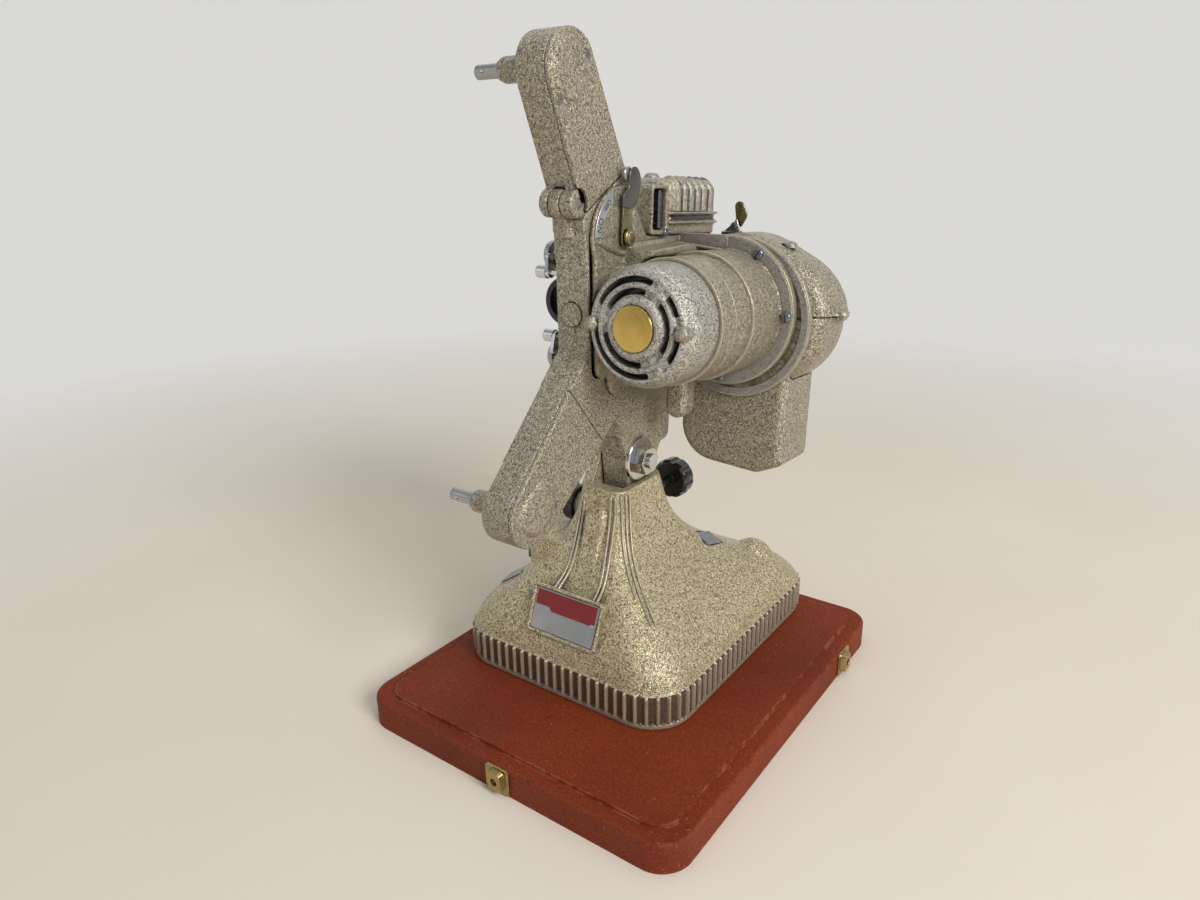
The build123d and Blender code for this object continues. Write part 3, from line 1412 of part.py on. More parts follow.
def sprocket(z):
    """Toothed film roller, its shaft in the column's wall and its spur wheel inside."""
    with BuildPart() as roller:
        add(rod(side_plane(sprocket_left), (sprocket_y, z), sprocket_radius, 4.0))
        add(rod(side_plane(sprocket_left + 4.0), (sprocket_y, z), sprocket_radius - 2.5, 7.0))
        add(rod(side_plane(sprocket_left + 11.0), (sprocket_y, z), sprocket_radius, 10.0))
        fillet(roller.edges().filter_by(GeomType.CIRCLE).sort_by(Axis.X)[0], 1.0)
        for index in range(12):
            angle = 2 * math.pi * index / 12
            tooth = (sprocket_y + sprocket_radius * math.cos(angle), z + sprocket_radius * math.sin(angle))
            add(rod(side_plane(sprocket_left + 11.0), tooth, 0.7, 1.2))
        add(rod(side_plane(-27.0), (sprocket_y, z), 2.5, 20.0))
        add(rod(side_plane(-17.0), (sprocket_y, z), gear_radius, 5.0))
        for index in range(gear_teeth):
            angle = 2 * math.pi * index / gear_teeth
            gullet = (
                sprocket_y + (gear_radius + 0.4) * math.cos(angle),
                z + (gear_radius + 0.4) * math.sin(angle),
            )
            add(rod(side_plane(-18.0), gullet, 1.1, 7.0), mode=Mode.SUBTRACT)
    return roller


upper_sprocket = sprocket(sprocket_spots["upper"])
save(upper_sprocket, "upper_sprocket")
lower_sprocket = sprocket(sprocket_spots["lower"])
save(lower_sprocket, "lower_sprocket")


def keeper(place):
    """Film keeper: pivoted arm with a knurled knob at its outer end."""
    y, z = keeper_spots[place]
    angle = math.radians(keeper_angles[place])
    arm_end = (y + keeper_reach * math.cos(angle), z + keeper_reach * math.sin(angle), 2.5)
    with BuildPart() as lever:
        add(rod(side_plane(keeper_left + 7.0), (y, z), 2.0, head_left + wall - keeper_left - 7.0))
        add(hull(side_plane(keeper_left + 8.0), [(y, z, 3.5), arm_end], 2.5))
        add(rod(side_plane(keeper_left), (y, z), 4.0, 8.0))
        fillet(lever.edges().filter_by(GeomType.CIRCLE).sort_by(Axis.X)[0], 1.0)
    return lever


upper_keeper = keeper("upper")
save(upper_keeper, "upper_keeper")
lower_keeper = keeper("lower")
save(lower_keeper, "lower_keeper")

# Run lever with its curved scale, and the tab at the rear of the lamp house

scale_width = 6.5

with BuildPart() as scale_plate:
    with BuildSketch(side_plane(cover_thick)):
        scale_path = Edge.make_circle(scale_radius - 1.0, Plane.XY, 112, 176)
        with Locations((lever_y, lever_z)):
            SlotArc(scale_path, scale_width)
    extrude(amount=0.8)
save(scale_plate, "scale_plate")

with BuildPart() as run_lever:
    add(tube(side_plane(5.0), (lever_y, lever_z), 5.5, 2.5, 2.2))
    add(hull(side_plane(5.0), [(lever_y, lever_z + 3.0, 4.0), (lever_y + 6.0, lever_z + 34.0, 5.0)], 2.2))
    hole = rod(side_plane(4.0), (lever_y, lever_z), 2.5 + shaft_fit, 5.0)
    add(hole, mode=Mode.SUBTRACT)
save(run_lever, "run_lever")

tab_x = 27.0
tab_y = 80.0
tab_pivot_z = scroll_top_z + 4.0

with BuildPart() as lift_bracket:
    foot_start = Plane.XY.offset(scroll_top_z - 3.0)
    add(block(foot_start, (tab_x - 6.0, tab_y - 9.0), (tab_x + 5.0, tab_y - 1.2), 4.6))
    add(hull(front_plane(tab_y - 1.2), [(tab_x, tab_pivot_z, 3.2), (tab_x, scroll_top_z + 3.2, 3.2)], 1.6))
    add(rod(front_plane(tab_y + 2.2), (tab_x, tab_pivot_z), 1.2, 3.6))
    scroll_seat = hull(front_plane(scroll_rear_y), scroll_circles, 48.0)
    scroll_seat = scroll_seat.rotate(Axis((0, lean_y, lean_z), (1, 0, 0)), -lean_angle)
    add(scroll_seat, mode=Mode.SUBTRACT)
save(lift_bracket, "lift_bracket")

with BuildPart() as lift_lever:
    lever_circles = [(tab_x, tab_pivot_z, 2.4), (tab_x + 2.0, tab_pivot_z + 14.0, 4.0)]
    add(hull(front_plane(tab_y + 1.0), lever_circles, 1.6))
    tab_bore = rod(front_plane(tab_y + 2.0), (tab_x, tab_pivot_z), 1.2 + shaft_fit, 4.0)
    add(tab_bore, mode=Mode.SUBTRACT)
save(lift_lever, "lift_lever")
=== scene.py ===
"""Dressed look of the movie projector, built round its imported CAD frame."""

import math

import bmesh
import bpy
from mathutils import Matrix, Vector
from mathutils.bvhtree import BVHTree


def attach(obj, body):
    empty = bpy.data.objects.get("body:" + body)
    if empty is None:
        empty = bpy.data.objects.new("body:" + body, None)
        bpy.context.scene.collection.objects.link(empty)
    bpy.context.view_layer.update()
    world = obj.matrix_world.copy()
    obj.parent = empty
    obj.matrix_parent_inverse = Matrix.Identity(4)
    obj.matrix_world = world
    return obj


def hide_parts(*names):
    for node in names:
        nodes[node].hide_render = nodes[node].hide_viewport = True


MM = 0.001

# Camera, matched to the photograph's viewing angle

camera_data = bpy.data.cameras.new("camera")
camera = bpy.data.objects.new("camera", camera_data)
bpy.context.scene.collection.objects.link(camera)
bpy.context.scene.camera = camera
camera.location = (0.29202, -0.43491, 0.35770)
camera_right = Vector((0.8086, 0.5881, -0.0165))
camera_down = Vector((0.1839, -0.2793, -0.9424))
camera_forward = Vector((-0.5589, 0.7590, -0.3340))
camera.rotation_euler = (
    Matrix((camera_right, -camera_down, -camera_forward)).transposed().to_euler()
)
camera_data.lens = 25.44
camera_data.sensor_width = 36.0
camera_data.clip_start = 0.01

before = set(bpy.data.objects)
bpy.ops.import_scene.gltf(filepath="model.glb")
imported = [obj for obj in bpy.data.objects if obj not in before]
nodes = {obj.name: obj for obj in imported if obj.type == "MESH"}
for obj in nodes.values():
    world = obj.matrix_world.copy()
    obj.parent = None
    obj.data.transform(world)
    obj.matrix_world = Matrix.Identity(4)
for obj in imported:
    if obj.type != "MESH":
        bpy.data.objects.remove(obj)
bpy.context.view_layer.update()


# Materials

class Graph:
    """A node material that is put together with short calls."""

    def __init__(self, name):
        self.material = bpy.data.materials.new(name)
        self.material.use_nodes = True
        self.tree = self.material.node_tree
        self.shader = self.tree.nodes["Principled BSDF"]
        self.place = self.add("ShaderNodeTexCoord").outputs["Object"]

    def add(self, kind, inputs=None, **settings):
        """New node; inputs has a value or another node's socket for each input that is set."""
        node = self.tree.nodes.new(kind)
        for key, value in settings.items():
            setattr(node, key, value)
        for key, value in (inputs or {}).items():
            self.join(value, node.inputs[key])
        return node

    def join(self, source, socket):
        if isinstance(source, bpy.types.NodeSocket):
            self.tree.links.new(source, socket)
        else:
            socket.default_value = source

    def stretched(self, scale, turn=(0, 0, 0)):
        """The place, scaled along each axis, for patterns that run one way."""
        inputs = {"Vector": self.place, "Scale": scale, "Rotation": turn}
        return self.add("ShaderNodeMapping", inputs).outputs["Vector"]

    def noise(self, scale, detail=2.0, rough=0.5, distortion=0.0, place=None):
        inputs = {"Vector": place or self.place, "Scale": scale, "Detail": detail}
        inputs.update({"Roughness": rough, "Distortion": distortion})
        return self.add("ShaderNodeTexNoise", inputs).outputs["Fac"]

    def cells(self, scale, smooth):
        inputs = {"Vector": self.place, "Scale": scale, "Smoothness": smooth}
        return self.add("ShaderNodeTexVoronoi", inputs, feature="SMOOTH_F1").outputs["Distance"]

    def ramp(self, fac, low, high, start=0.0, stop=1.0):
        inputs = {"Value": fac, "From Min": low, "From Max": high, "To Min": start, "To Max": stop}
        return self.add("ShaderNodeMapRange", inputs).outputs["Result"]

    def mix(self, fac, first, second):
        inputs = {"Factor": fac, "A": first, "B": second}
        return self.add("ShaderNodeMix", inputs, data_type="RGBA").outputs["Result"]

    def calc(self, operation, first, second):
        return self.add("ShaderNodeMath", {0: first, 1: second}, operation=operation).outputs["Value"]

    def bump(self, height, distance, strength=1.0, normal=None):
        inputs = {"Height": height, "Distance": distance, "Strength": strength}
        if normal is not None:
            inputs["Normal"] = normal
        return self.add("ShaderNodeBump", inputs).outputs["Normal"]

    def bevel(self, radius):
        return self.add("ShaderNodeBevel", {"Radius": radius}, samples=4).outputs["Normal"]

    def edges(self, radius):
        """1 on sharp edges, 0 on flats."""
        inputs = {0: self.bevel(radius), 1: self.add("ShaderNodeNewGeometry").outputs["Normal"]}
        node = self.add("ShaderNodeVectorMath", inputs, operation="DOT_PRODUCT")
        return self.ramp(node.outputs["Value"], 0.995, 0.80)

    def hollows(self, distance):
        """1 in open places, 0 in corners and slots."""
        return self.add("ShaderNodeAmbientOcclusion", {"Distance": distance}, samples=4).outputs["AO"]

    def finish(self, color, rough, normal=None, metallic=0.0, **sockets):
        self.join(color, self.shader.inputs["Base Color"])
        self.join(rough, self.shader.inputs["Roughness"])
        self.join(metallic, self.shader.inputs["Metallic"])
        if normal is not None:
            self.join(normal, self.shader.inputs["Normal"])
        for key, value in sockets.items():
            self.shader.inputs[key.replace("_", " ")].default_value = value
        return self.material


def rgb(r, g, b):
    """A colour as it looks on screen, 0 to 255, in linear light."""
    return tuple(((c / 255 + 0.055) / 1.055) ** 2.4 if c > 10 else c / 3295 for c in (r, g, b)) + (1.0,)


def hammertone(name, light, dark, edge, cell, depth):
    """Wrinkled metallic enamel: small glinting worm-like cells, measured in millimetres."""
    g = Graph(name)
    light, dark, edge = rgb(*light), rgb(*dark), rgb(*edge)
    cells_per_metre = 1000.0 / cell
    worms = g.noise(cells_per_metre, 1.5, 0.5, 1.2)
    fine = g.noise(2.2 * cells_per_metre, 2.0, 0.6)
    height = g.calc("ADD", worms, g.calc("MULTIPLY", fine, 0.45))
    # cell crests lighter, hollows darker by height: the enamel's own mottle, with painted glint on the crests
    # and painted shade in the hollows
    tone = g.ramp(height, 0.58, 0.90)
    color = g.mix(tone, dark, light)
    cloud = g.ramp(g.noise(11.0, 3.0, 0.55), 0.3, 0.7, 0.0, 0.22)
    color = g.mix(cloud, color, g.mix(0.5, color, dark))
    # edges found by the bevel are lightened in patches: partly real wear, partly painted highlight
    worn = g.calc("MULTIPLY", g.edges(0.0012), g.ramp(g.noise(90.0, 3.0), 0.35, 0.6, 0.25, 0.8))
    color = g.mix(worn, color, edge)
    # painted shade: ambient occlusion darkens corners and slots towards dark brown
    hollow_shade = g.ramp(g.hollows(0.006), 0.15, 0.75, 0.8, 0.0)
    color = g.mix(hollow_shade, color, rgb(48, 42, 36))
    rough = g.ramp(height, 0.58, 0.86, 0.44, 0.24)
    # the noise swings over a third of its range, so the bump reaches three times as far
    normal = g.bump(height, 3.0 * depth * MM, 1.0, g.bevel(0.6 * MM))
    return g.finish(color, rough, normal, 0.45, Coat_Weight=0.2, Coat_Roughness=0.15)


def metal(name, color, dark, rough, brushed=False, tarnish=0.35):
    """Bare or plated metal with faint scratches, worn edges, dulled patches and painted shade in its creases.
    """
    g = Graph(name)
    edge_radius = 0.35 * MM
    worn_bright = (0.9, 0.88, 0.84, 1.0)
    crevice_shade_color = (0.03, 0.026, 0.02, 1.0)
    patches = g.ramp(g.noise(55.0, 4.0, 0.6), 0.42, 0.72, 0.0, tarnish)
    tone = g.mix(patches, color, dark)
    streaks = g.noise(900.0, 3.0, 0.6, place=g.stretched((1.0, 0.06, 1.0)) if brushed else None)
    tone = g.mix(g.calc("MULTIPLY", g.edges(edge_radius), 0.4), tone, worn_bright)
    # painted shade: ambient occlusion darkens creases and slots towards near-black
    crevice_shade = g.ramp(g.hollows(0.003), 0.1, 0.7, 0.7, 0.0)
    tone = g.mix(crevice_shade, tone, crevice_shade_color)
    gloss = g.ramp(g.calc("ADD", streaks, patches), 0.3, 1.0, rough * 0.7, rough * 1.6)
    normal = g.bump(streaks, 0.02 * MM, 0.5 if brushed else 0.2, g.bevel(edge_radius))
    return g.finish(tone, gloss, normal, 1.0)


def leatherette(name, light, dark, worn):
    """Pebbled covering cloth with rubbed edges, scuffs and a few dark stains."""
    g = Graph(name)
    pebbles = g.cells(1500.0, 0.4)
    grain = g.noise(800.0, 4.0, 0.6)
    height = g.calc("ADD", pebbles, g.calc("MULTIPLY", grain, 0.7))
    color = g.mix(g.ramp(g.noise(7.0, 5.0, 0.6), 0.34, 0.66), dark, light)
    color = g.mix(g.ramp(grain, 0.35, 0.7, 0.0, 0.9), color, g.mix(0.5, dark, rgb(40, 18, 12)))
    specks = g.ramp(g.noise(380.0, 3.0, 0.6), 0.66, 0.72)
    color = g.mix(g.calc("MULTIPLY", specks, 0.6), color, worn)
    scuffs = g.ramp(g.noise(150.0, 5.0, 0.75, place=g.stretched((1.0, 0.5, 1.0), (0, 0, 0.5))), 0.68, 0.76)
    color = g.mix(g.calc("MULTIPLY", scuffs, 0.45), color, worn)
    stains = g.ramp(g.noise(38.0, 3.0, 0.6, 0.8), 0.70, 0.76)
    color = g.mix(g.calc("MULTIPLY", stains, 0.6), color, rgb(48, 22, 14))
    rub = g.calc("MULTIPLY", g.edges(0.0022), g.ramp(g.noise(120.0, 4.0), 0.45, 0.6))
    color = g.mix(g.calc("MULTIPLY", rub, 0.7), color, worn)
    rough = g.ramp(grain, 0.3, 0.7, 0.55, 0.75)
    normal = g.bump(height, 0.14 * MM, 1.0, g.bevel(1.2 * MM))
    return g.finish(color, rough, normal, 0.0, Specular_IOR_Level=0.22, Coat_Weight=0.03, Coat_Roughness=0.4)


def plastic(name, color, rough=0.18, dust=0.10):
    """Moulded plastic or gloss paint with fine wear."""
    g = Graph(name)
    worn = rgb(120, 116, 110)
    wear = g.ramp(g.noise(300.0, 4.0, 0.7), 0.55, 0.8, 0.0, dust)
    tone = g.mix(wear, color, worn)
    tone = g.mix(g.calc("MULTIPLY", g.edges(0.0006), 0.25), tone, worn)
    gloss = g.ramp(g.noise(180.0, 3.0), 0.3, 0.7, rough * 0.8, rough * 1.7)
    normal = g.bump(g.noise(500.0, 2.0), 0.01 * MM, 0.4, g.bevel(0.6 * MM))
    return g.finish(tone, gloss, normal, 0.0, Coat_Weight=0.5, Coat_Roughness=0.08)


# Finishes: an enamel has its light tone (with painted glint on the cell crests), dark tone and worn edge tone
# (with painted highlight), then its cells' width and depth

enamel = hammertone("enamel", (216, 205, 180), (98, 90, 77), (218, 210, 194), 1.2, 0.20)
enamel_stand = hammertone("enamel_stand", (248, 234, 194), (110, 98, 74), (232, 222, 198), 1.25, 0.20)
enamel_fine = hammertone("enamel_fine", (208, 200, 180), (108, 100, 88), (220, 212, 196), 1.2, 0.12)
enamel_cap = hammertone("enamel_cap", (240, 236, 226), (100, 94, 84), (240, 234, 220), 1.1, 0.20)
# darker copy of the enamel for the skirt's panels between the ribs: painted shade
enamel_skirt_shade = hammertone("enamel_skirt_shade", (128, 112, 94), (70, 60, 50), (180, 166, 146), 0.9, 0.10)
enamel_shade = hammertone("enamel_shade", (88, 88, 86), (38, 40, 42), (120, 118, 112), 0.9, 0.06)
# lighter copy of the enamel for beads, edges, ribs and lip: painted highlight
enamel_highlit = hammertone("enamel_highlit", (212, 202, 178), (140, 130, 108), (226, 218, 200), 0.9, 0.06)
enamel_pale = hammertone("enamel_pale", (192, 186, 180), (126, 120, 116), (222, 216, 206), 1.0, 0.10)
chrome = metal("chrome", (0.74, 0.75, 0.75, 1), (0.35, 0.34, 0.32, 1), 0.12)
steel = metal("steel", (0.46, 0.46, 0.45, 1), (0.22, 0.21, 0.20, 1), 0.30, True)
screw_steel = metal("screw_steel", (0.42, 0.40, 0.36, 1), (0.20, 0.18, 0.15, 1), 0.34)
blade_steel = metal("blade_steel", (0.20, 0.19, 0.18, 1), (0.09, 0.085, 0.08, 1), 0.34, True)
blue_steel = metal("blue_steel", (0.26, 0.29, 0.33, 1), (0.12, 0.13, 0.15, 1), 0.28, True)
olive_brass = metal("olive_brass", (0.36, 0.32, 0.16, 1), (0.16, 0.13, 0.06, 1), 0.24)
scale_silver = metal("scale_silver", (0.70, 0.71, 0.72, 1), (0.5, 0.5, 0.5, 1), 0.3, True)
brass = metal("brass", (0.46, 0.35, 0.15, 1), (0.16, 0.11, 0.045, 1), 0.26, tarnish=0.7)
gold = metal("gold", (0.74, 0.50, 0.14, 1), (0.50, 0.30, 0.06, 1), 0.26)
plate = metal("plate", (0.52, 0.53, 0.54, 1), (0.30, 0.30, 0.30, 1), 0.38, True)
inner_metal = metal("inner_metal", (0.50, 0.49, 0.47, 1), (0.22, 0.21, 0.19, 1), 0.4)
board_cover = leatherette("board_cover", rgb(150, 62, 28), rgb(118, 44, 19), rgb(190, 124, 90))
black = plastic("black", rgb(14, 14, 15))
black_satin = plastic("black_satin", rgb(22, 22, 23), 0.35)
red_paint = plastic("red_paint", rgb(132, 24, 26), 0.25, 0.15)
ivory = plastic("ivory", rgb(206, 206, 200), 0.3, 0.25)
# dark print, also laid in screw and cap slots as painted shade
ink_and_slot_shade = plastic("ink_and_slot_shade", rgb(30, 28, 28), 0.4, 0.05)
dark_sheet = plastic("dark_sheet", rgb(40, 38, 36), 0.4)

g = Graph("glass")
smudge = g.ramp(g.noise(160.0, 3.0), 0.4, 0.7, 0.02, 0.10)
ripple = g.bump(g.noise(60.0), 0.01 * MM, 0.1)
glass = g.finish(rgb(226, 232, 236), smudge, ripple, 0.0, Transmission_Weight=0.92)

finish_of_node = {
    "case_base_board": board_cover, "base_casting": enamel_stand, "case_catches": brass,
    "board_screws": brass, "cap_badge": gold,
    "upper_cover_screws": screw_steel, "lower_cover_screws": screw_steel, "flange_screws": screw_steel,
    "hinge_pin": screw_steel, "base_plate": dark_sheet, "nameplate": plate, "scale_plate": ivory,
    "nameplate_rivets": chrome, "control_plates": blue_steel, "pivot_washer": chrome, "pivot_nut": chrome,
    "scroll_studs": enamel_fine, "cap_nuts": enamel_fine, "motor_switch": chrome, "lamp_switch": chrome,
    "upper_keeper": chrome, "lower_keeper": chrome, "upper_spindle": steel, "lower_spindle": steel,
    "lift_lever": brass, "pivot_bolt": chrome, "run_lever": blade_steel, "lift_bracket": blue_steel,
    "motor_rotor": steel, "motor_stator": inner_metal, "shutter_disc": steel, "upper_sprocket": steel,
    "lower_sprocket": steel, "tilt_pad": steel, "film_gate": steel, "motor_bearings": inner_metal,
    "tilt_knob": black, "speed_dial": black, "lens": black_satin, "lens_holder": black_satin,
    "lens_glass": glass, "projection_lamp": glass, "lamp_socket": inner_metal, "condenser": inner_metal,
}
for name, node in nodes.items():
    material = finish_of_node.get(name, enamel)
    if node.material_slots:
        for material_slot in node.material_slots:
            material_slot.material = material
    else:
        node.data.materials.append(material)

# Shapes in millimetres, in the frame of the CAD parts

lean_angle = math.radians(-3.4)
lean_centre = Vector((0.0, 5.0, 262.0))
motor_x = 38.0
motor_z = 262.0


def straight(point):
    """Millimetres to metres."""
    return Vector(point) * MM


def leaning(point):
    """Millimetres to metres, tipped back as the whole optic group is."""
    turned = Matrix.Rotation(lean_angle, 3, "X") @ (Vector(point) - lean_centre)
    return (turned + lean_centre) * MM


def without_lean(point):
    """Metres to millimetres, back to where the point was before the group was tipped."""
    turned = Matrix.Rotation(-lean_angle, 3, "X") @ (point / MM - lean_centre)
    return turned + lean_centre


def round_motor(radius, angle, y):
    return leaning((motor_x + radius * math.cos(angle), y, motor_z + radius * math.sin(angle)))


def on_side(u, v, w):
    """Point on the motor side: u runs back, v up, w out."""
    return straight((w, u, v))


def on_leaning_side(u, v, w):
    return leaning((w, u, v))


def on_front(u, v, w):
    """Point on a face that looks forward: u runs right, v up, w back."""
    return straight((u, w, v))


def on_leaning_front(u, v, w):
    return leaning((u, w, v))


def add_piece(name, mesh, materials, body, replaced=(), crease=40.0):
    """Mesh object that rides on a body and stands for the named CAD nodes."""
    piece = bpy.data.objects.new(name, mesh)
    bpy.context.scene.collection.objects.link(piece)
    for material in materials if isinstance(materials, (list, tuple)) else [materials]:
        mesh.materials.append(material)
    if isinstance(mesh, bpy.types.Mesh):
        mesh.polygons.foreach_set("use_smooth", [True] * len(mesh.polygons))
        mesh.set_sharp_from_angle(angle=math.radians(crease))
    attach(piece, body)
    if replaced:
        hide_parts(*replaced)
    return piece


def skin(name, rings, closed=True, capped=True):
    """Mesh stretched over rings that all have the same number of points."""
    count = len(rings[0])
    span = count if closed else count - 1
    faces = []
    for row in range(len(rings) - 1):
        low, high = row * count, (row + 1) * count
        for i in range(span):
            j = (i + 1) % count
            faces.append((low + i, low + j, high + j, high + i))
    if closed and capped:
        faces.append(tuple(reversed(range(count))))
        faces.append(tuple(range((len(rings) - 1) * count, len(rings) * count)))
    mesh = bpy.data.meshes.new(name)
    mesh.from_pydata([tuple(p) for ring in rings for p in ring], [], faces)
    shell = bmesh.new()
    shell.from_mesh(mesh)
    bmesh.ops.recalc_face_normals(shell, faces=shell.faces)
    shell.to_mesh(mesh)
    shell.free()
    return mesh


def joined(name, meshes):
    """One mesh out of several."""
    whole = bmesh.new()
    for mesh in meshes:
        whole.from_mesh(mesh)
    mesh = bpy.data.meshes.new(name)
    whole.to_mesh(mesh)
    whole.free()
    return mesh


def full_turn(count):
    """Evenly spaced angles round a circle."""
    return [2 * math.pi * i / count for i in range(count)]


def revolved(name, profile, place, segments):
    """Turned form; place(radius, angle, height) gives the point, profile is (radius, height)."""
    turns = full_turn(segments)
    return skin(name, [[place(max(radius, 0.02), a, height) for a in turns] for radius, height in profile])


def turned_piece(name, profile, place, segments, material, body, replaced=(), crease=40.0):
    mesh = revolved(name, profile, place, segments)
    add_piece(name, mesh, material, body, replaced, crease)


def flat_plate(name, outline, low, high, place, bevel, segments=3):
    """Sheet cut to an outline; place(u, v, w) gives the point, w runs from low to high."""
    shape = bmesh.new()
    bottom = [shape.verts.new(place(u, v, low)) for u, v in outline]
    face = shape.faces.new(bottom)
    top = bmesh.ops.extrude_face_region(shape, geom=[face])
    shift = place(0, 0, high) - place(0, 0, low)
    bmesh.ops.translate(shape, vec=shift, verts=[v for v in top["geom"] if isinstance(v, bmesh.types.BMVert)])
    bmesh.ops.recalc_face_normals(shape, faces=shape.faces)
    rims = [e for e in shape.edges if e.calc_face_angle(0) > math.radians(50)]
    bmesh.ops.bevel(shape, geom=rims, offset=bevel * MM, segments=segments, affect="EDGES", profile=0.5)
    mesh = bpy.data.meshes.new(name)
    shape.to_mesh(mesh)
    shape.free()
    return mesh


def cut_piece(name, outline, low, high, place, bevel, material, body, replaced=(), segments=3):
    mesh = flat_plate(name, outline, low, high, place, bevel, segments)
    add_piece(name, mesh, material, body, replaced)


def corner_outline(half_width, half_height, radius, steps=5):
    """Rectangle round the origin with its corners rounded."""
    outline = []
    for start, su, sv in ((0, 1, 1), (90, -1, 1), (180, -1, -1), (270, 1, -1)):
        centre = (su * (half_width - radius), sv * (half_height - radius))
        outline += arc(centre, radius, start, start + 90, steps)
    return outline


def slotted_screw(name, profile, slot, turn, place, replaced=()):
    """Low dome with its slot as a dark bar, painted shade; place(u, v, w) gives the point, w runs out of the
    head.
    """
    half_length, half_width, floor_w, top_w = slot
    turned_piece(name, profile, lambda radius, a, w: place(radius * math.cos(a), radius * math.sin(a), w),
                 40, blue_steel, "head", replaced)
    sine, cosine = math.sin(turn), math.cos(turn)
    line = [(u * cosine - v * sine, u * sine + v * cosine)
            for u, v in corner_outline(half_length, half_width, 0.1, 2)]
    cut_piece(name + "_slot", line, floor_w, top_w, place, 0.05, ink_and_slot_shade, "head", segments=1)


def arc(centre, radius, start, stop, steps):
    """Points on a circle, in degrees."""
    points = []
    for i in range(steps + 1):
        a = math.radians(start + (stop - start) * i / steps)
        points.append((centre[0] + radius * math.cos(a), centre[1] + radius * math.sin(a)))
    return points


def hull_outline(circles, steps=14):
    """Outline round circles (u, v, radius), given counter-clockwise."""
    points = []
    count = len(circles)
    for i, (u, v, radius) in enumerate(circles):
        before = circles[i - 1]
        after = circles[(i + 1) % count]
        start = tangent_angle(before, circles[i])
        stop = tangent_angle(circles[i], after)
        while stop < start - 1e-6:
            stop += 360.0
        points += arc((u, v), radius, start, stop, steps)
    return points


def tangent_angle(first, second):
    """Direction, in degrees, to the right of the line that touches both circles."""
    du, dv = second[0] - first[0], second[1] - first[1]
    reach = math.hypot(du, dv)
    heading = math.degrees(math.atan2(dv, du))
    return heading - 90.0 + math.degrees(math.asin((first[2] - second[2]) / reach))


def smooth_path(points, steps=10):
    """Catmull-Rom curve through the points."""
    points = [Vector(p) for p in points]
    ends = [2 * points[0] - points[1]] + points + [2 * points[-1] - points[-2]]
    path = []
    for i in range(1, len(ends) - 2):
        a, b, c, d = ends[i - 1:i + 3]
        for step in range(steps):
            t = step / steps
            path.append(0.5 * ((2 * b) + (c - a) * t + (2 * a - 5 * b + 4 * c - d) * t * t
                               + (3 * b - 3 * c + d - a) * t ** 3))
    path.append(points[-1])
    return path


def straight_path(start, stop, steps):
    """Evenly spaced points from start to stop."""
    return [Vector(start).lerp(Vector(stop), k / steps) for k in range(steps + 1)]


def bead(name, path, radius, fade=3.0, place=straight):
    """Round cord of metal along a path that tapers out at both ends."""
    turns = full_turn(12)
    lengths = [0.0]
    for a, b in zip(path, path[1:]):
        lengths.append(lengths[-1] + (b - a).length)
    rings = []
    side = Vector((0.3, -1.0, 0.2)).normalized()
    for i, point in enumerate(path):
        ahead = (path[min(i + 1, len(path) - 1)] - path[max(i - 1, 0)]).normalized()
        across = ahead.cross(side).normalized()
        out = across.cross(ahead).normalized()
        near = min(lengths[i], lengths[-1] - lengths[i])
        swell = radius * math.sqrt(max(0.02, 1 - (1 - min(1.0, near / fade)) ** 2))
        rings.append([place(point + swell * (math.cos(a) * across + math.sin(a) * out)) for a in turns])
    return skin(name, rings)


def soft_cast(node_name, body, voxel):
    """The CAD casting with its edges rounded off, as sand-cast metal has them."""
    piece_name = node_name + "_cast"
    piece = bpy.data.objects.new(piece_name, nodes[node_name].data.copy())
    piece.data.materials.clear()
    bpy.context.scene.collection.objects.link(piece)
    remesh = piece.modifiers.new("remesh", "REMESH")
    remesh.mode = "VOXEL"
    remesh.voxel_size = voxel * MM
    soften = piece.modifiers.new("soften", "SMOOTH")
    soften.factor = 0.5
    soften.iterations = 4
    shaped = bpy.data.meshes.new_from_object(piece.evaluated_get(bpy.context.evaluated_depsgraph_get()))
    bpy.data.objects.remove(piece)
    add_piece(piece_name, shaped, enamel, body, [node_name], 180.0)


# Castings with rounded edges: body and size of the remesh's cells in millimetres

castings = {
    "head_casting": ("head", 1.0), "lower_arm_cover": ("head", 0.7), "gear_cover": ("head", 0.8),
    "upper_arm": ("upper_arm", 0.8), "upper_arm_cover": ("upper_arm", 0.7),
    "scroll_upper": ("head", 0.9), "scroll_lower": ("head", 0.9), "lamp_duct": ("head", 0.9),
    "lamp_house": ("head", 1.0), "motor_barrel": ("head", 0.8),
}
for node_name, (body, voxel) in castings.items():
    soft_cast(node_name, body, voxel)

# Shaded recess between the two fins of the lamp house

recess_x = 2.5
recess_low, recess_high = 316.6, 320.0
recess_front = 34.0
house = bpy.data.objects["lamp_house_cast"]
house.data.materials.append(enamel_shade)
for polygon in house.data.polygons:
    spot = without_lean(polygon.center)
    if abs(spot.x - recess_x) < 1.0 and recess_low < spot.z < recess_high and spot.y > recess_front:
        polygon.material_index = 1

# Stand: its flared shell as a formula, for everything that lies on it

neck = {"left": -29.0, "right": 6.0, "front": -24.0, "rear": 27.0, "corner": 9.0}
foot = {"left": -100.0, "right": 70.0, "front": -73.0, "rear": 139.0, "corner": 28.0}
fullness = {"left": 1.9, "right": 2.0, "front": 1.2, "rear": 2.3, "corner": 1.2}
neck_top = 150.0
skirt_top = 46.0


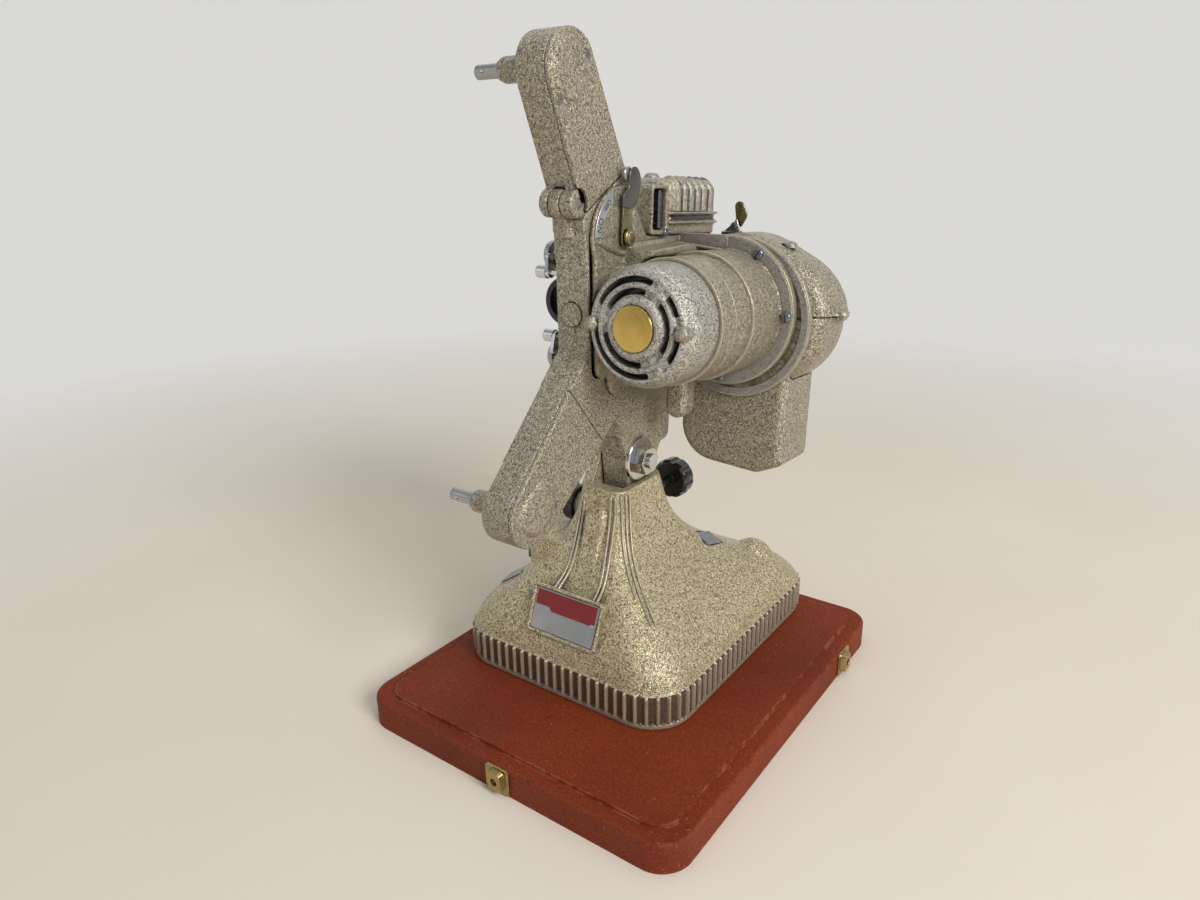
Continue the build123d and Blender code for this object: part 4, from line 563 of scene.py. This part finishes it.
def shell_section(z):
    """Edges and corner radius of the shell at a height."""
    t = min(1.0, max(0.0, (neck_top - z) / (neck_top - skirt_top)))
    return {
        key: neck[key] + (foot[key] - neck[key]) * (0.25 * t + 0.75 * (3 * t * t - 2 * t ** 3) ** power)
        for key, power in fullness.items()
    }


stand_tree = BVHTree.FromObject(nodes["base_casting"], bpy.context.evaluated_depsgraph_get())
far_out = 300.0


def landed(start, heading, out):
    """Where a line from outside meets the stand, in millimetres, raised by out."""
    hit = stand_tree.ray_cast(nodes["base_casting"].matrix_world.inverted() @ (start * MM), heading)[0]
    return nodes["base_casting"].matrix_world @ hit / MM - heading * out


def front_surface(x, z, out):
    return landed(Vector((x, -far_out, z)), Vector((0.0, 1.0, 0.0)), out)


def on_ridge(angle, z, out):
    """Point on the shell's front right corner at an angle of the corner's round."""
    s = shell_section(z)
    a = math.radians(angle)
    heading = Vector((-math.cos(a), -math.sin(a), 0.0))
    centre = Vector((s["right"] - s["corner"], s["front"] + s["corner"], z))
    return landed(centre - heading * far_out, heading, out)


def rounded_rectangle(left, right, front, rear, corner, count):
    """Evenly spaced points and outward directions round a rounded rectangle."""
    width, depth = right - left - 2 * corner, rear - front - 2 * corner
    quarter = math.pi * corner / 2
    # length, start and heading with the way out, or for a corner its centre and first angle
    runs = [
        (width, (left + corner, front), (1, 0), (0, -1)),
        (quarter, (right - corner, front + corner), -90, None),
        (depth, (right, front + corner), (0, 1), (1, 0)),
        (quarter, (right - corner, rear - corner), 0, None),
        (width, (right - corner, rear), (-1, 0), (0, 1)),
        (quarter, (left + corner, rear - corner), 90, None),
        (depth, (left, rear - corner), (0, -1), (-1, 0)),
        (quarter, (left + corner, front + corner), 180, None),
    ]
    total = 2 * width + 2 * depth + 4 * quarter
    points = []
    for i in range(count):
        s = total * i / count
        for length, start, heading, out in runs:
            if s <= length:
                break
            s -= length
        if out is None:
            a = math.radians(heading + 90.0 * s / length)
            normal = (math.cos(a), math.sin(a))
            points.append((start[0] + corner * normal[0], start[1] + corner * normal[1], normal))
        else:
            points.append((start[0] + heading[0] * s, start[1] + heading[1] * s, out))
    return points


# Skirt of the stand: narrow ribs with round ends on flat panels

rib_count = 104
rib_steps = 12
rib_half_width = 1.15
rib_rise = 1.9
panel_rise = 0.95
rib_low, rib_high = 25.6, 43.4
panel_low = 24.3
panel_arch = 1.2
lip_rise = 1.7
lip_top = 24.6
shoulder_low = 44.6

loop = rounded_rectangle(foot["left"], foot["right"], foot["front"], foot["rear"], foot["corner"],
                         rib_count * rib_steps)
pitch = 2 * (foot["right"] - foot["left"] + foot["rear"] - foot["front"]) - 8 * foot["corner"]
pitch = (pitch + 2 * math.pi * foot["corner"]) / rib_count
skirt_levels = [22.0, 23.6, 24.2, 24.6, 25.0, 25.5, 26.2, 27.0, 29.0, 33.0, 38.0, 41.5, 42.8,
                43.4, 43.8, 44.2, 44.6, 45.0, 45.6, 46.4, 47.2]
skirt_rings = []
for z in skirt_levels:
    ring = []
    for i, (x, y, normal) in enumerate(loop):
        across = ((i % rib_steps) / rib_steps - 0.5) * pitch
        past_end = max(rib_low - z, z - rib_high, 0.0)
        reach = math.hypot(across, past_end) / rib_half_width
        rise = panel_rise + rib_rise * math.sqrt(max(0.0, 1 - reach * reach))
        # panels end in a shallow arch between the ribs
        arch = panel_low + panel_arch * (2 * abs(across) / pitch) ** 2
        if z < arch and reach > 1:
            rise = lip_rise
        if z > shoulder_low:
            rise = panel_rise - (z - shoulder_low) * 0.75
        ring.append(straight((x + normal[0] * rise, y + normal[1] * rise, z)))
    skirt_rings.append(ring)
skirt_mesh = skin("stand_skirt", skirt_rings, capped=False)
skirt_paints = [enamel_skirt_shade, enamel_highlit, enamel_stand]
add_piece("stand_skirt", skirt_mesh, skirt_paints, "stand", crease=50.0)
# ribs and lip take the highlit enamel as painted highlight, the panels between them the darker enamel as
# painted shade
for polygon in skirt_mesh.polygons:
    row, column = divmod(min(polygon.vertices), len(loop))
    across = abs(((column % rib_steps) + 0.5) / rib_steps - 0.5) * pitch
    z = (skirt_levels[row] + skirt_levels[row + 1]) / 2
    if z > shoulder_low - 0.2:
        polygon.material_index = 2
    elif z < lip_top or (across < rib_half_width and rib_low - 1.0 < z < rib_high + 1.0):
        polygon.material_index = 1

# Beads and the arch-topped pad cast on the stand

bead_radius = 0.95
bead_lift = 0.3
bead_gap = 3.0
ridge_angle = -26.0
bead_meshes = []
ridge_levels = [148.0, 140.0, 130.0, 118.0, 108.0, 98.0, 90.0, 83.0, 77.0]
for offset, last in ((-bead_gap, 7), (0.0, 9), (bead_gap, 9)):
    ridge = []
    for z in ridge_levels[:last]:
        angle = ridge_angle + math.degrees(offset / shell_section(z)["corner"])
        ridge.append(on_ridge(angle, z, bead_lift))
    bead_meshes.append(bead("ridge_bead", smooth_path(ridge), bead_radius))
# x and z of points along each bead on the front
front_lines = [
    [(1.1, 147.0), (2.6, 132.4), (5.8, 110.9), (8.4, 94.9), (9.9, 87.0)],
    [(-1.8, 147.0), (-0.6, 132.0), (2.6, 111.0), (5.4, 95.0), (7.0, 87.0)],
    [(-22.4, 140.0), (-21.8, 128.7), (-20.7, 112.4), (-20.4, 98.0), (-21.3, 87.5)],
    [(-24.6, 138.0), (-24.4, 128.0), (-23.4, 112.0), (-23.2, 98.0), (-24.3, 87.5)],
]
for line in front_lines:
    path = smooth_path([front_surface(x, z, bead_lift) for x, z in line])
    bead_meshes.append(bead("front_bead", path, bead_radius))
# beads in the highlit enamel: painted highlight
add_piece("stand_beads", joined("stand_beads", bead_meshes), enamel_highlit, "stand")

pad_left, pad_right, pad_top, pad_bottom = -17.5, -3.2, 138.5, 101.0
pad_rise = 4.6
pad_half = (pad_right - pad_left) / 2
pad_middle = (pad_left + pad_right) / 2
pad_margin = 1.0
pad_fade = 24.0
pad_rows, pad_columns = 45, 24
pad_rings = []
for row in range(pad_rows + 1):
    z = pad_bottom + (pad_top + pad_margin - pad_bottom) * row / pad_rows
    ring = []
    for column in range(pad_columns + 1):
        x = pad_left - pad_margin + 2 * (pad_half + pad_margin) * column / pad_columns
        centre_z = min(z, pad_top - pad_half)
        inside = pad_half - math.hypot(x - pad_middle, z - centre_z)
        shoulder = min(1.0, max(0.0, (inside + 0.5) / 1.5))
        fade = min(1.0, (z - pad_bottom) / pad_fade)
        rise = pad_rise * fade * math.sin(shoulder * math.pi / 2) - 0.4
        ring.append(straight(front_surface(x, z, rise)))
    pad_rings.append(ring)
add_piece("neck_pad", skin("neck_pad", pad_rings, closed=False), enamel_stand, "stand")

# Plate on the front: bright sheet with a plain red band, in a raised frame

plate_centre = Vector((-11.0, -65.5, 75.5))
plate_slope = math.radians(68.0)
plate_up = Vector((0.0, math.cos(plate_slope), math.sin(plate_slope)))
plate_out = Vector((0.0, -math.sin(plate_slope), math.cos(plate_slope)))


def on_plate(u, v, w):
    """Point by its place across, up and out of the front plate."""
    return straight(plate_centre + Vector((u, 0, 0)) + plate_up * v + plate_out * w)


sheet_half_width, sheet_half_height = 25.0, 13.5
rim_gap = 1.6
cut_piece("plate_sheet", corner_outline(sheet_half_width, sheet_half_height, 1.2), -0.8, 0.02, on_plate, 0.2,
          plate, "stand", ["nameplate"])
# lower edge of the band steps down in the middle with a cut corner
band_line = [(-24.0, 12.6), (-24.0, 2.6), (-13.0, 2.6), (-10.5, 0.2), (22.0, 0.2), (24.0, 2.2), (24.0, 12.6)]
cut_piece("plate_band", band_line, -0.05, 0.14, on_plate, 0.05, red_paint, "stand", segments=1)
rim_line = corner_outline(sheet_half_width + rim_gap, sheet_half_height + rim_gap, 2.4)
rim_path = [Vector((u, v, -0.3)) for u, v in rim_line + rim_line[:1]]
plate_rim = bead("plate_rim", rim_path, 1.3, 0.01, place=lambda p: on_plate(*p))
add_piece("plate_rim", plate_rim, enamel_stand, "stand")

# Motor end cap: dished face with two rings of slots between raised rings

cap_radius = 34.5
cap_front, cap_rear = -55.0, -24.0
cap_shoulder = 9.0
cap_edge = 0.6
# radius of each ring of slots, and where its slots start and stop in degrees
slot_rings = [
    (26.6, [(70, 155), (19, 43), (-38, -8), (186, 288)]),
    (20.2, [(77, 152), (-34, 43), (193, 279)]),
]
slot_half = 1.5
slot_sink = 7.0
# middle, half width and height of each raised ring
raised_rings = [(14.8, 4.0, 3.4), (23.4, 1.9, 1.9), (30.2, 2.3, 1.7)]
spokes = (57.0, -56.0, 171.0)
spoke_from, spoke_to = 16.0, 31.0
spoke_half, spoke_rise = 2.6, 1.1


def slot_depth(radius, angle):
    """How far a point of the cap's face lies in a slot, 0 outside, 1 inside."""
    deepest = 0.0
    for ring_radius, arcs in slot_rings:
        for start, stop in arcs:
            middle, half = (start + stop) / 2, (stop - start) / 2
            turn = abs((angle - middle + 180) % 360 - 180)
            past = math.radians(max(0.0, turn - half + 3)) * ring_radius
            reach = math.hypot(radius - ring_radius, past)
            deepest = max(deepest, min(1.0, max(0.0, (slot_half + 0.25 - reach) / 0.5)))
    return deepest


def cap_rise(radius, angle):
    """Height of the raised rings and spokes at a point of the cap's face."""
    rise = 0.0
    for middle, half, height in raised_rings:
        rise += height * max(0.0, 1 - ((radius - middle) / half) ** 2) ** 0.7
    for spoke in spokes:
        turn = math.radians((angle - spoke + 180) % 360 - 180)
        if spoke_from < radius < spoke_to and abs(turn) * radius < spoke_half:
            rise = max(rise, spoke_rise * math.sqrt(1 - (turn * radius / spoke_half) ** 2))
    return rise


cap_steps = 540
cap_rings = []
ring_step = 0.4
radii = [ring_step * k for k in range(1, 87)]
for radius in radii:
    ring = []
    for k in range(cap_steps):
        angle = 360.0 * k / cap_steps
        over = max(0.0, radius - (cap_radius - cap_shoulder))
        y = cap_front + cap_shoulder - math.sqrt(max(0.0, cap_shoulder ** 2 - over ** 2))
        depth = slot_depth(radius, angle)
        y += slot_sink * depth - cap_rise(radius, angle) * (1 - depth)
        ring.append(round_motor(radius, math.radians(angle), y))
    cap_rings.append(ring)
for y in (cap_front + cap_shoulder, cap_rear - 6.0, cap_rear - cap_edge, cap_rear):
    radius = cap_radius if y < cap_rear else cap_radius - cap_edge
    cap_rings.append([round_motor(radius, a, y) for a in full_turn(cap_steps)])
cap_mesh = skin("motor_cap", cap_rings)
add_piece("motor_cap", cap_mesh, [enamel_cap, ink_and_slot_shade], "head", ["motor_end_cap"], 35.0)
# slot floors and walls take the dark ink: painted shade in the slots
for polygon in cap_mesh.polygons:
    row = min(polygon.vertices) // cap_steps
    if row < len(radii):
        angle = 360.0 * (min(polygon.vertices) % cap_steps + 0.5) / cap_steps
        if slot_depth(radii[row] + ring_step / 2, angle) > 0.75:
            polygon.material_index = 1

# Acorn nuts at the cap's sides: a hexagon that ends in a round tip

nut_reach = 29.5
nut_profile = [(4.7, -50.0), (4.7, -56.4), (4.4, -57.3), (3.0, -58.4), (1.3, -59.6), (0.3, -59.9)]
nut_hexagon_from = 4.2
for side, nut_name in ((-1, "acorn_nut_left"), (1, "acorn_nut_right")):
    def on_nut(radius, a, y, side=side):
        if radius > nut_hexagon_from:
            radius *= math.cos(math.pi / 6) / math.cos(a % (math.pi / 3) - math.pi / 6)
        return leaning((motor_x + side * nut_reach + radius * math.cos(a), y, motor_z + radius * math.sin(a)))

    turned_piece(nut_name, nut_profile, on_nut, 24, enamel_fine, "head",
                 ["cap_nuts"] if side < 0 else [], 30.0)

# Beads on the barrel's steps, bright with painted highlight, and the paler face of its flange


def head_ring(name, profile, material, crease=30.0, place=round_motor):
    turned_piece(name, profile, place, 160, material, "head", (), crease)


def band_profile(radius, y, half, rise):
    """Narrow band with a round back, sunk into the surface at its radius."""
    steps = [math.pi * k / 8 for k in range(9)]
    outer = [(radius + rise * math.sin(a), y - half * math.cos(a)) for a in steps]
    return [(radius - 1.5, y - half)] + outer + [(radius - 1.5, y + half)]


flange_y = 45.6
head_ring("barrel_line", band_profile(36.3, -23.4, 0.7, 0.35), enamel_highlit)
head_ring("barrel_mid_line", band_profile(36.4, -8.0, 0.45, 0.3), enamel_highlit)
head_ring("barrel_step_bead", band_profile(38.2, 10.2, 1.0, 0.7), enamel_highlit)
head_ring("flange_edge", band_profile(46.6, flange_y + 1.0, 0.8, 0.5), enamel_highlit)
flange_profile = [(38.4, flange_y), (45.9, flange_y), (46.3, flange_y + 0.9), (38.4, flange_y + 0.9)]
head_ring("flange_face", flange_profile, enamel_pale, 15.0)

# Top of the flange runs on to the left as a straight strip, with a step below it

arm_top = 308.5
arm_line = [(3.8, 300.0), (3.8, arm_top), (38.0, arm_top), (38.0, 300.0)]
cut_piece("flange_arm", arm_line, 45.2, 46.5, on_leaning_front, 0.3, enamel_pale, "head")
arm_edge = straight_path((3.6, 45.8, arm_top), (38.6, 45.8, arm_top), 12)
arm_step = straight_path((-5.6, 44.6, 303.6), (38.4, 44.6, 299.2), 12)
arm_edges = [
    bead("arm_edge", arm_edge, 0.7, 0.8, leaning),
    bead("arm_step", arm_step, 1.1, 2.0, leaning),
]
# strip edge and step in the highlit enamel: painted highlight
add_piece("arm_edges", joined("arm_edges", arm_edges), enamel_highlit, "head")

# Ring on the front of the scroll: its rim is set right of and below the motor's axis

ring_x, ring_z = 42.8, 257.4
ring_radius = 50.6
ring_front, ring_rear = 52.0, 56.0


def round_scroll(radius, angle, y):
    return leaning((ring_x + radius * math.cos(angle), y, ring_z + radius * math.sin(angle)))


ring_bore = 30.0
rim_profile = [(ring_radius - 1.4, ring_front), (ring_radius - 0.4, ring_front + 0.3),
               (ring_radius, ring_front + 1.1), (ring_radius, ring_rear)]
bore_loops = [[round_motor(ring_bore, a, y) for a in full_turn(160)] for y in (ring_rear, ring_front)]
rim_loops = [[round_scroll(radius, a, y) for a in full_turn(160)] for radius, y in rim_profile]
ring_mesh = skin("scroll_ring", bore_loops + rim_loops + bore_loops[:1], capped=False)
add_piece("scroll_ring", ring_mesh, enamel, "head", ["scroll_plate"], 30.0)
face_profile = [(45.2, ring_front + 0.2), (45.2, ring_front - 0.4), (49.6, ring_front - 0.4),
                (50.1, ring_front + 0.4)]
head_ring("scroll_ring_face", face_profile, enamel_pale, 15.0, round_scroll)
# ring edge in the highlit enamel: painted highlight
edge_profile = band_profile(ring_radius - 0.3, ring_front + 0.8, 0.8, 0.5)
head_ring("scroll_ring_edge", edge_profile, enamel_highlit, place=round_scroll)

# Slotted screws of the flange: place round the flange and turn of the slot, in degrees

screw_circle = 42.3
screw_profile = [(3.1, -0.5), (3.2, 0.5), (2.9, 1.1), (2.2, 1.45), (1.1, 1.6), (0.1, 1.65)]
for index, (angle, turn) in enumerate(((60, 55), (0, 100), (-90, 20), (180, 80))):
    def on_flange(u, v, w, angle=math.radians(angle)):
        screw_x = motor_x + screw_circle * math.cos(angle)
        screw_z = motor_z + screw_circle * math.sin(angle)
        return leaning((screw_x + u, flange_y - w, screw_z + v))

    slotted_screw("flange_screw_" + str(index + 1), screw_profile, (3.0, 0.42, 1.0, 1.72), math.radians(turn),
                  on_flange, ["flange_screws"] if index == 0 else [])

# Ball nub at the end of the scroll's seam and low nub on its top

nub_profile = [(3.6, -3.0), (3.6, -0.5), (3.2, 1.0), (2.2, 2.3), (1.0, 3.0), (0.1, 3.2)]


def on_seam_end(radius, angle, height):
    return leaning((104.0 + height, 78.0 + radius * math.cos(angle), motor_z + radius * math.sin(angle)))


def on_scroll_top(radius, angle, height):
    """The same nub, wider and lower."""
    wide = 1.2 * radius
    return leaning((66.0 + wide * math.cos(angle), 77.0 + wide * math.sin(angle), 303.4 + 0.7 * height))


turned_piece("scroll_nub_side", nub_profile, on_seam_end, 32, enamel_fine, "head", ["scroll_studs"])
turned_piece("scroll_nub_top", nub_profile, on_scroll_top, 32, enamel_fine, "head")

# Ribbed dome of the lamp cap

dome_left, dome_right, dome_front, dome_rear = -65.0, 1.5, 33.0, 95.0
dome_low, dome_top, dome_round = 322.3, 342.0, 7.0
dome_corner = 9.0
dome_rib_pitch = 8.3
dome_rib_rise = 2.6
first_rib = 9.6
dome_steps = 560


def dome_wave(y):
    """1 on the crest of a rib, 0 in the trough between two."""
    return 0.5 + 0.5 * math.cos(2 * math.pi * (y - dome_front - first_rib) / dome_rib_pitch)


def dome_outline(inset):
    return rounded_rectangle(dome_left + inset, dome_right - inset, dome_front + inset, dome_rear - inset,
                             max(dome_corner - inset, 1.0), dome_steps)


# inset from the wall and height of each ring
levels = [(0.0, dome_low), (0.0, 326.0), (0.0, 330.0), (0.0, dome_top - dome_round)]
for a in [math.pi / 2 * k / 8 for k in range(1, 9)]:
    levels.append((dome_round * (1 - math.cos(a)), dome_top - dome_round + dome_round * math.sin(a)))
levels += [(9.0, 342.1), (12.0, 342.3), (16.0, 342.6), (22.0, 342.9), (29.0, 343.1)]
dome_rings = []
for inset, z in levels:
    ring = []
    for x, y, normal in dome_outline(inset):
        ends = min(1.0, max(0.0, min(y - dome_front - 6.0, dome_rear - 1.5 - y) / 2.0))
        fade = min(1.0, max(0.0, (15.0 - inset) / 8.0))
        rise = dome_rib_rise * dome_wave(y) ** 0.6 * ends * fade * abs(normal[0])
        upward = min(1.0, inset / dome_round)
        ring.append(leaning((x + normal[0] * rise * (1 - upward * 0.6), y, z + rise * upward * 0.8)))
    dome_rings.append(ring)
dome_mesh = skin("lamp_dome", dome_rings)
add_piece("lamp_dome", dome_mesh, [enamel_fine, enamel_shade], "lamp_cap", ["lamp_cap"], 60.0)
# the troughs of the side walls lie in shade
wall_outline = dome_outline(0.0)
for polygon in dome_mesh.polygons:
    row, column = divmod(min(polygon.vertices), dome_steps)
    if row < len(levels) - 4 and polygon.loop_total == 4:
        x, y, normal = wall_outline[column]
        if dome_wave(y) < 0.22 and abs(normal[0]) > 0.9 and dome_front + 8.0 < y < dome_rear - 2.0:
            polygon.material_index = 1
dome_knob = [(5.4, 341.0), (5.2, 343.6), (4.6, 344.8), (3.4, 345.6), (1.8, 346.0), (0.1, 346.1)]
knob_x = (dome_left + dome_right) / 2
knob_y = (dome_front + dome_rear) / 2


def on_dome(radius, angle, height):
    return leaning((knob_x + radius * math.cos(angle), knob_y + radius * math.sin(angle), height))


turned_piece("dome_knob", dome_knob, on_dome, 40, enamel_fine, "lamp_cap")

# Slats in the vent in front of the lamp house

slat_count = 5
slat_low = 313.2
slat_pitch = 4.6
slat_sheet = 0.6
slat_meshes = []
for z in [slat_low + index * slat_pitch for index in range(slat_count)]:
    outline = [(15.0, z), (24.5, z + 1.4), (24.5, z + 1.4 + slat_sheet), (15.0, z + slat_sheet)]
    slat_meshes.append(flat_plate("slat", outline, -48.0, -4.0, on_leaning_side, 0.1, 1))
upright = [(u + 26.4, v + 323.3) for u, v in corner_outline(1.9, 11.5, 0.4)]
slat_meshes.append(flat_plate("upright", upright, -6.0, -0.5, on_leaning_side, 0.2, 1))
add_piece("vent_slats", joined("vent_slats", slat_meshes), blue_steel, "head")

# Run lever: brass blade, dark steel leaf on it, grey disc and brass pivot screw

lever_pivot = (-16.0, 309.0)
blade_line = arc(lever_pivot, 5.6, 200, 340, 14)
blade_line += [(-10.6, 314.0), (-11.2, 329.0), (-19.4, 329.0), (-20.8, 314.0)]
cut_piece("run_blade", blade_line, 5.0, 6.2, on_side, 0.25, olive_brass, "run_lever", ["run_lever"])
leaf_line = [(-21.0, 326.4), (-12.0, 325.2), (-7.6, 327.6), (-3.8, 335.6), (-3.4, 342.5), (-6.6, 347.4),
             (-11.4, 347.8), (-14.6, 344.0), (-15.6, 337.0), (-20.8, 333.0)]
leaf_path = smooth_path([Vector((u, v, 0)) for u, v in leaf_line + leaf_line[:1]], 6)[:-1]
leaf_curve = [(p.x, p.y) for p in leaf_path]
cut_piece("run_leaf", leaf_curve, 6.2, 7.2, on_side, 0.25, blade_steel, "run_lever")


def on_lever(spot, start):
    """Placer for turned forms that stand out of the motor side at a spot."""
    return lambda radius, angle, height: straight(
        (start + height, spot[0] + radius * math.cos(angle), spot[1] + radius * math.sin(angle))
    )


disc_profile = [(3.6, 0.0), (4.2, 0.4), (4.2, 2.2), (3.7, 2.7), (0.1, 2.8)]
turned_piece("run_disc", disc_profile, on_lever((-13.6, 344.2), 3.3), 40, steel, "run_lever")
pivot_profile = [(4.9, 0.0), (4.9, 1.0), (4.4, 1.5), (3.2, 1.5), (3.0, 2.2), (2.2, 2.6), (0.1, 2.7)]
turned_piece("run_pivot_cap", pivot_profile, on_lever(lever_pivot, 7.3), 40, brass, "head")

# Thick wall round the lever's sector

wall_line = [(-41.5, 309.5), (-31.0, 304.8), (-20.0, 300.8), (-12.0, 300.6), (-7.4, 305.0), (-5.6, 314.0),
             (-6.4, 324.0)]
wall_x = 2.6
wall_path = smooth_path([Vector((wall_x, u, v)) for u, v in wall_line])
add_piece("sector_wall", bead("sector_wall", wall_path, 2.1, 1.5), enamel, "head")

# Slotted screw below the vent


def on_vent_side(u, v, w):
    return leaning((2.6 + w, 29.0 + u, 309.4 + v))


vent_profile = [(2.5, -0.5), (2.5, 0.5), (2.1, 1.0), (1.2, 1.35), (0.1, 1.4)]
slotted_screw("vent_screw", vent_profile, (2.3, 0.35, 0.8, 1.46), math.radians(60), on_vent_side)

# Bright scale round the lever's pivot, with ON and OFF

scale_inside, scale_outside = 21.9, 28.4
scale_from, scale_to = 112, 176
scale_face = 3.9
word_radius = 25.1
scale_line = arc(lever_pivot, scale_outside, scale_from, scale_to, 40)
scale_line += arc(lever_pivot, scale_inside, scale_to, scale_from, 40)
cut_piece("on_scale", scale_line, scale_face - 0.8, scale_face, on_side, 0.2, scale_silver, "head",
          ["scale_plate"])


def scale_word(word, angle, size):
    """Word along the scale, its letters' tops towards the lever's pivot."""
    text = bpy.data.curves.new("scale_" + word.lower(), "FONT")
    text.body = word
    text.size = size * MM
    text.align_x = "CENTER"
    text.align_y = "CENTER"
    text.extrude = 0.06 * MM
    piece = add_piece("scale_" + word.lower(), text, ink_and_slot_shade, "head")
    a = math.radians(angle)
    ahead = Vector((0, -math.sin(a), math.cos(a)))
    up = Vector((0, -math.cos(a), -math.sin(a)))
    out = ahead.cross(up)
    u, v = lever_pivot[0] + word_radius * math.cos(a), lever_pivot[1] + word_radius * math.sin(a)
    spot = on_side(u, v, scale_face + 0.05)
    piece.matrix_world = Matrix.Translation(spot) @ Matrix((ahead, up, out)).transposed().to_4x4()


scale_word("ON", 160.0, 5.4)
scale_word("OFF", 130.0, 4.2)

# Rear tab: triangular bracket, bright lug and a thin brass leaf

tab_line = hull_outline([(29.2, 310.6, 2.2), (30.8, 316.0, 3.6), (28.8, 321.4, 3.2)])
cut_piece("lift_leaf", tab_line, 79.6, 81.0, on_front, 0.3, olive_brass, "lift_lever",
          ["lift_lever"])
wedge_line = [(13.5, 301.0), (30.6, 301.0), (27.4, 311.8), (26.2, 311.4)]
cut_piece("lift_wedge", wedge_line, 77.4, 78.6, on_front, 0.3, blue_steel, "head")
lug_line = [(27.2, 311.4), (28.2, 313.8), (29.2, 313.4), (33.0, 301.0), (30.4, 301.0)]
cut_piece("lift_lug", lug_line, 76.2, 77.2, on_front, 0.2, chrome, "head")

# Collars and cross keys on the reel spindles

boss_end = -44.9
key_x = -58.0
key_half = 5.6
collar_profile = [(4.0, 0.0), (5.6, 0.2), (5.8, 0.8), (5.4, 2.0), (4.4, 2.4), (4.0, 2.6)]
for place_name, y, z in (("upper", -58.6, 399.0), ("lower", -102.0, 161.5)):
    def on_spindle(radius, angle, height, y=y, z=z):
        return straight((boss_end - height, y + radius * math.cos(angle), z + radius * math.sin(angle)))

    body = place_name + "_spindle"
    turned_piece(place_name + "_collar", collar_profile, on_spindle, 40, steel, body)
    key_path = straight_path((key_x, y - key_half, z), (key_x, y + key_half, z), 8)
    add_piece(place_name + "_key", bead(place_name + "_key", key_path, 0.9, 0.6), steel, body)

# Plain domed badge with a thin bright rim

badge_rim = [(11.4, -59.2), (12.6, -59.0), (12.9, -58.4), (12.6, -57.8), (11.4, -57.6)]
head_ring("badge_rim", badge_rim, gold)
badge_y = -58.2
badge_steps = [math.pi / 2 * k / 10 for k in range(10)]
badge_profile = [(12.3 * math.cos(a) + 0.02, badge_y - 1.4 * math.sin(a)) for a in badge_steps]
turned_piece("badge_dome", badge_profile, round_motor, 96, gold, "head", ["cap_badge"])

# Stage: pale floor that curves up into a pale backdrop, and soft lights

g = Graph("backdrop")
floor_color = g.mix(g.ramp(g.noise(3.0, 3.0), 0.3, 0.7), rgb(230, 220, 204), rgb(236, 227, 212))
backdrop = g.finish(floor_color, 0.85, g.bump(g.noise(90.0, 3.0), 0.05 * MM, 0.2))
light_path = g.add("ShaderNodeLightPath")
seen = g.calc("MAXIMUM", light_path.outputs["Is Camera Ray"], light_path.outputs["Is Glossy Ray"])
seen = g.calc("MAXIMUM", seen, light_path.outputs["Is Transmission Ray"])
far = g.add("ShaderNodeVectorMath", {0: g.place}, operation="LENGTH")
glow = g.calc("MULTIPLY", seen, g.ramp(far.outputs["Value"], 0.42, 1.3, 0.0, 0.85))
emission = g.add("ShaderNodeEmission", {"Color": rgb(224, 224, 222)})
shaders = {"Fac": glow, 1: g.shader.outputs["BSDF"], 2: emission.outputs["Emission"]}
mixed = g.add("ShaderNodeMixShader", shaders)
g.join(mixed.outputs["Shader"], g.tree.nodes["Material Output"].inputs["Surface"])

# floor and backdrop, in metres
floor_front, floor_back = -2.2, 1.6
floor_half_width = 5.0
bend_radius = 0.9
bend_steps = 16
backdrop_top = 3.5
sweep = [(floor_front, 0.0)]
for step in range(bend_steps + 1):
    angle = math.pi / 2 * step / bend_steps
    sweep.append((floor_back + bend_radius * math.sin(angle), bend_radius * (1 - math.cos(angle))))
sweep.append((floor_back + bend_radius, backdrop_top))
corners = [(side * floor_half_width, y, z) for y, z in sweep for side in (-1, 1)]
faces = [(2 * i, 2 * i + 1, 2 * i + 3, 2 * i + 2) for i in range(len(sweep) - 1)]
floor_mesh = bpy.data.meshes.new("floor")
floor_mesh.from_pydata(corners, [], faces)
for polygon in floor_mesh.polygons:
    polygon.use_smooth = True
floor = bpy.data.objects.new("floor", floor_mesh)
floor.rotation_euler = (0, 0, math.radians(36.0))
floor_mesh.materials.append(backdrop)
bpy.context.scene.collection.objects.link(floor)

world = bpy.data.worlds.new("world")
bpy.context.scene.world = world
world.use_nodes = True
background = world.node_tree.nodes["Background"]
background.inputs["Color"].default_value = (0.95, 0.97, 1.0, 1.0)
background.inputs["Strength"].default_value = 0.35


def area_light(name, place, target_height, size, watts, color):
    """Square soft light that looks at a height above the frame's origin."""
    data = bpy.data.lights.new(name, "AREA")
    data.shape = "SQUARE"
    data.size = size
    data.energy = watts
    data.color = color
    target = Vector((0.0, 0.0, target_height))
    light = bpy.data.objects.new(name, data)
    light.location = place
    light.rotation_euler = (target - Vector(place)).to_track_quat("-Z", "Y").to_euler()
    bpy.context.scene.collection.objects.link(light)


warm_white = (1.0, 0.98, 0.95)
cool_white = (0.92, 0.96, 1.0)
area_light("key", (1.95, -0.6, 1.35), 0.15, 0.9, 40.0, warm_white)
area_light("top", (-0.1, 0.2, 1.6), 0.2, 1.4, 5.0, warm_white)
area_light("left", (-1.2, -0.9, 0.8), 0.2, 0.9, 1.2, cool_white)

bpy.context.scene.view_settings.view_transform = "Standard"
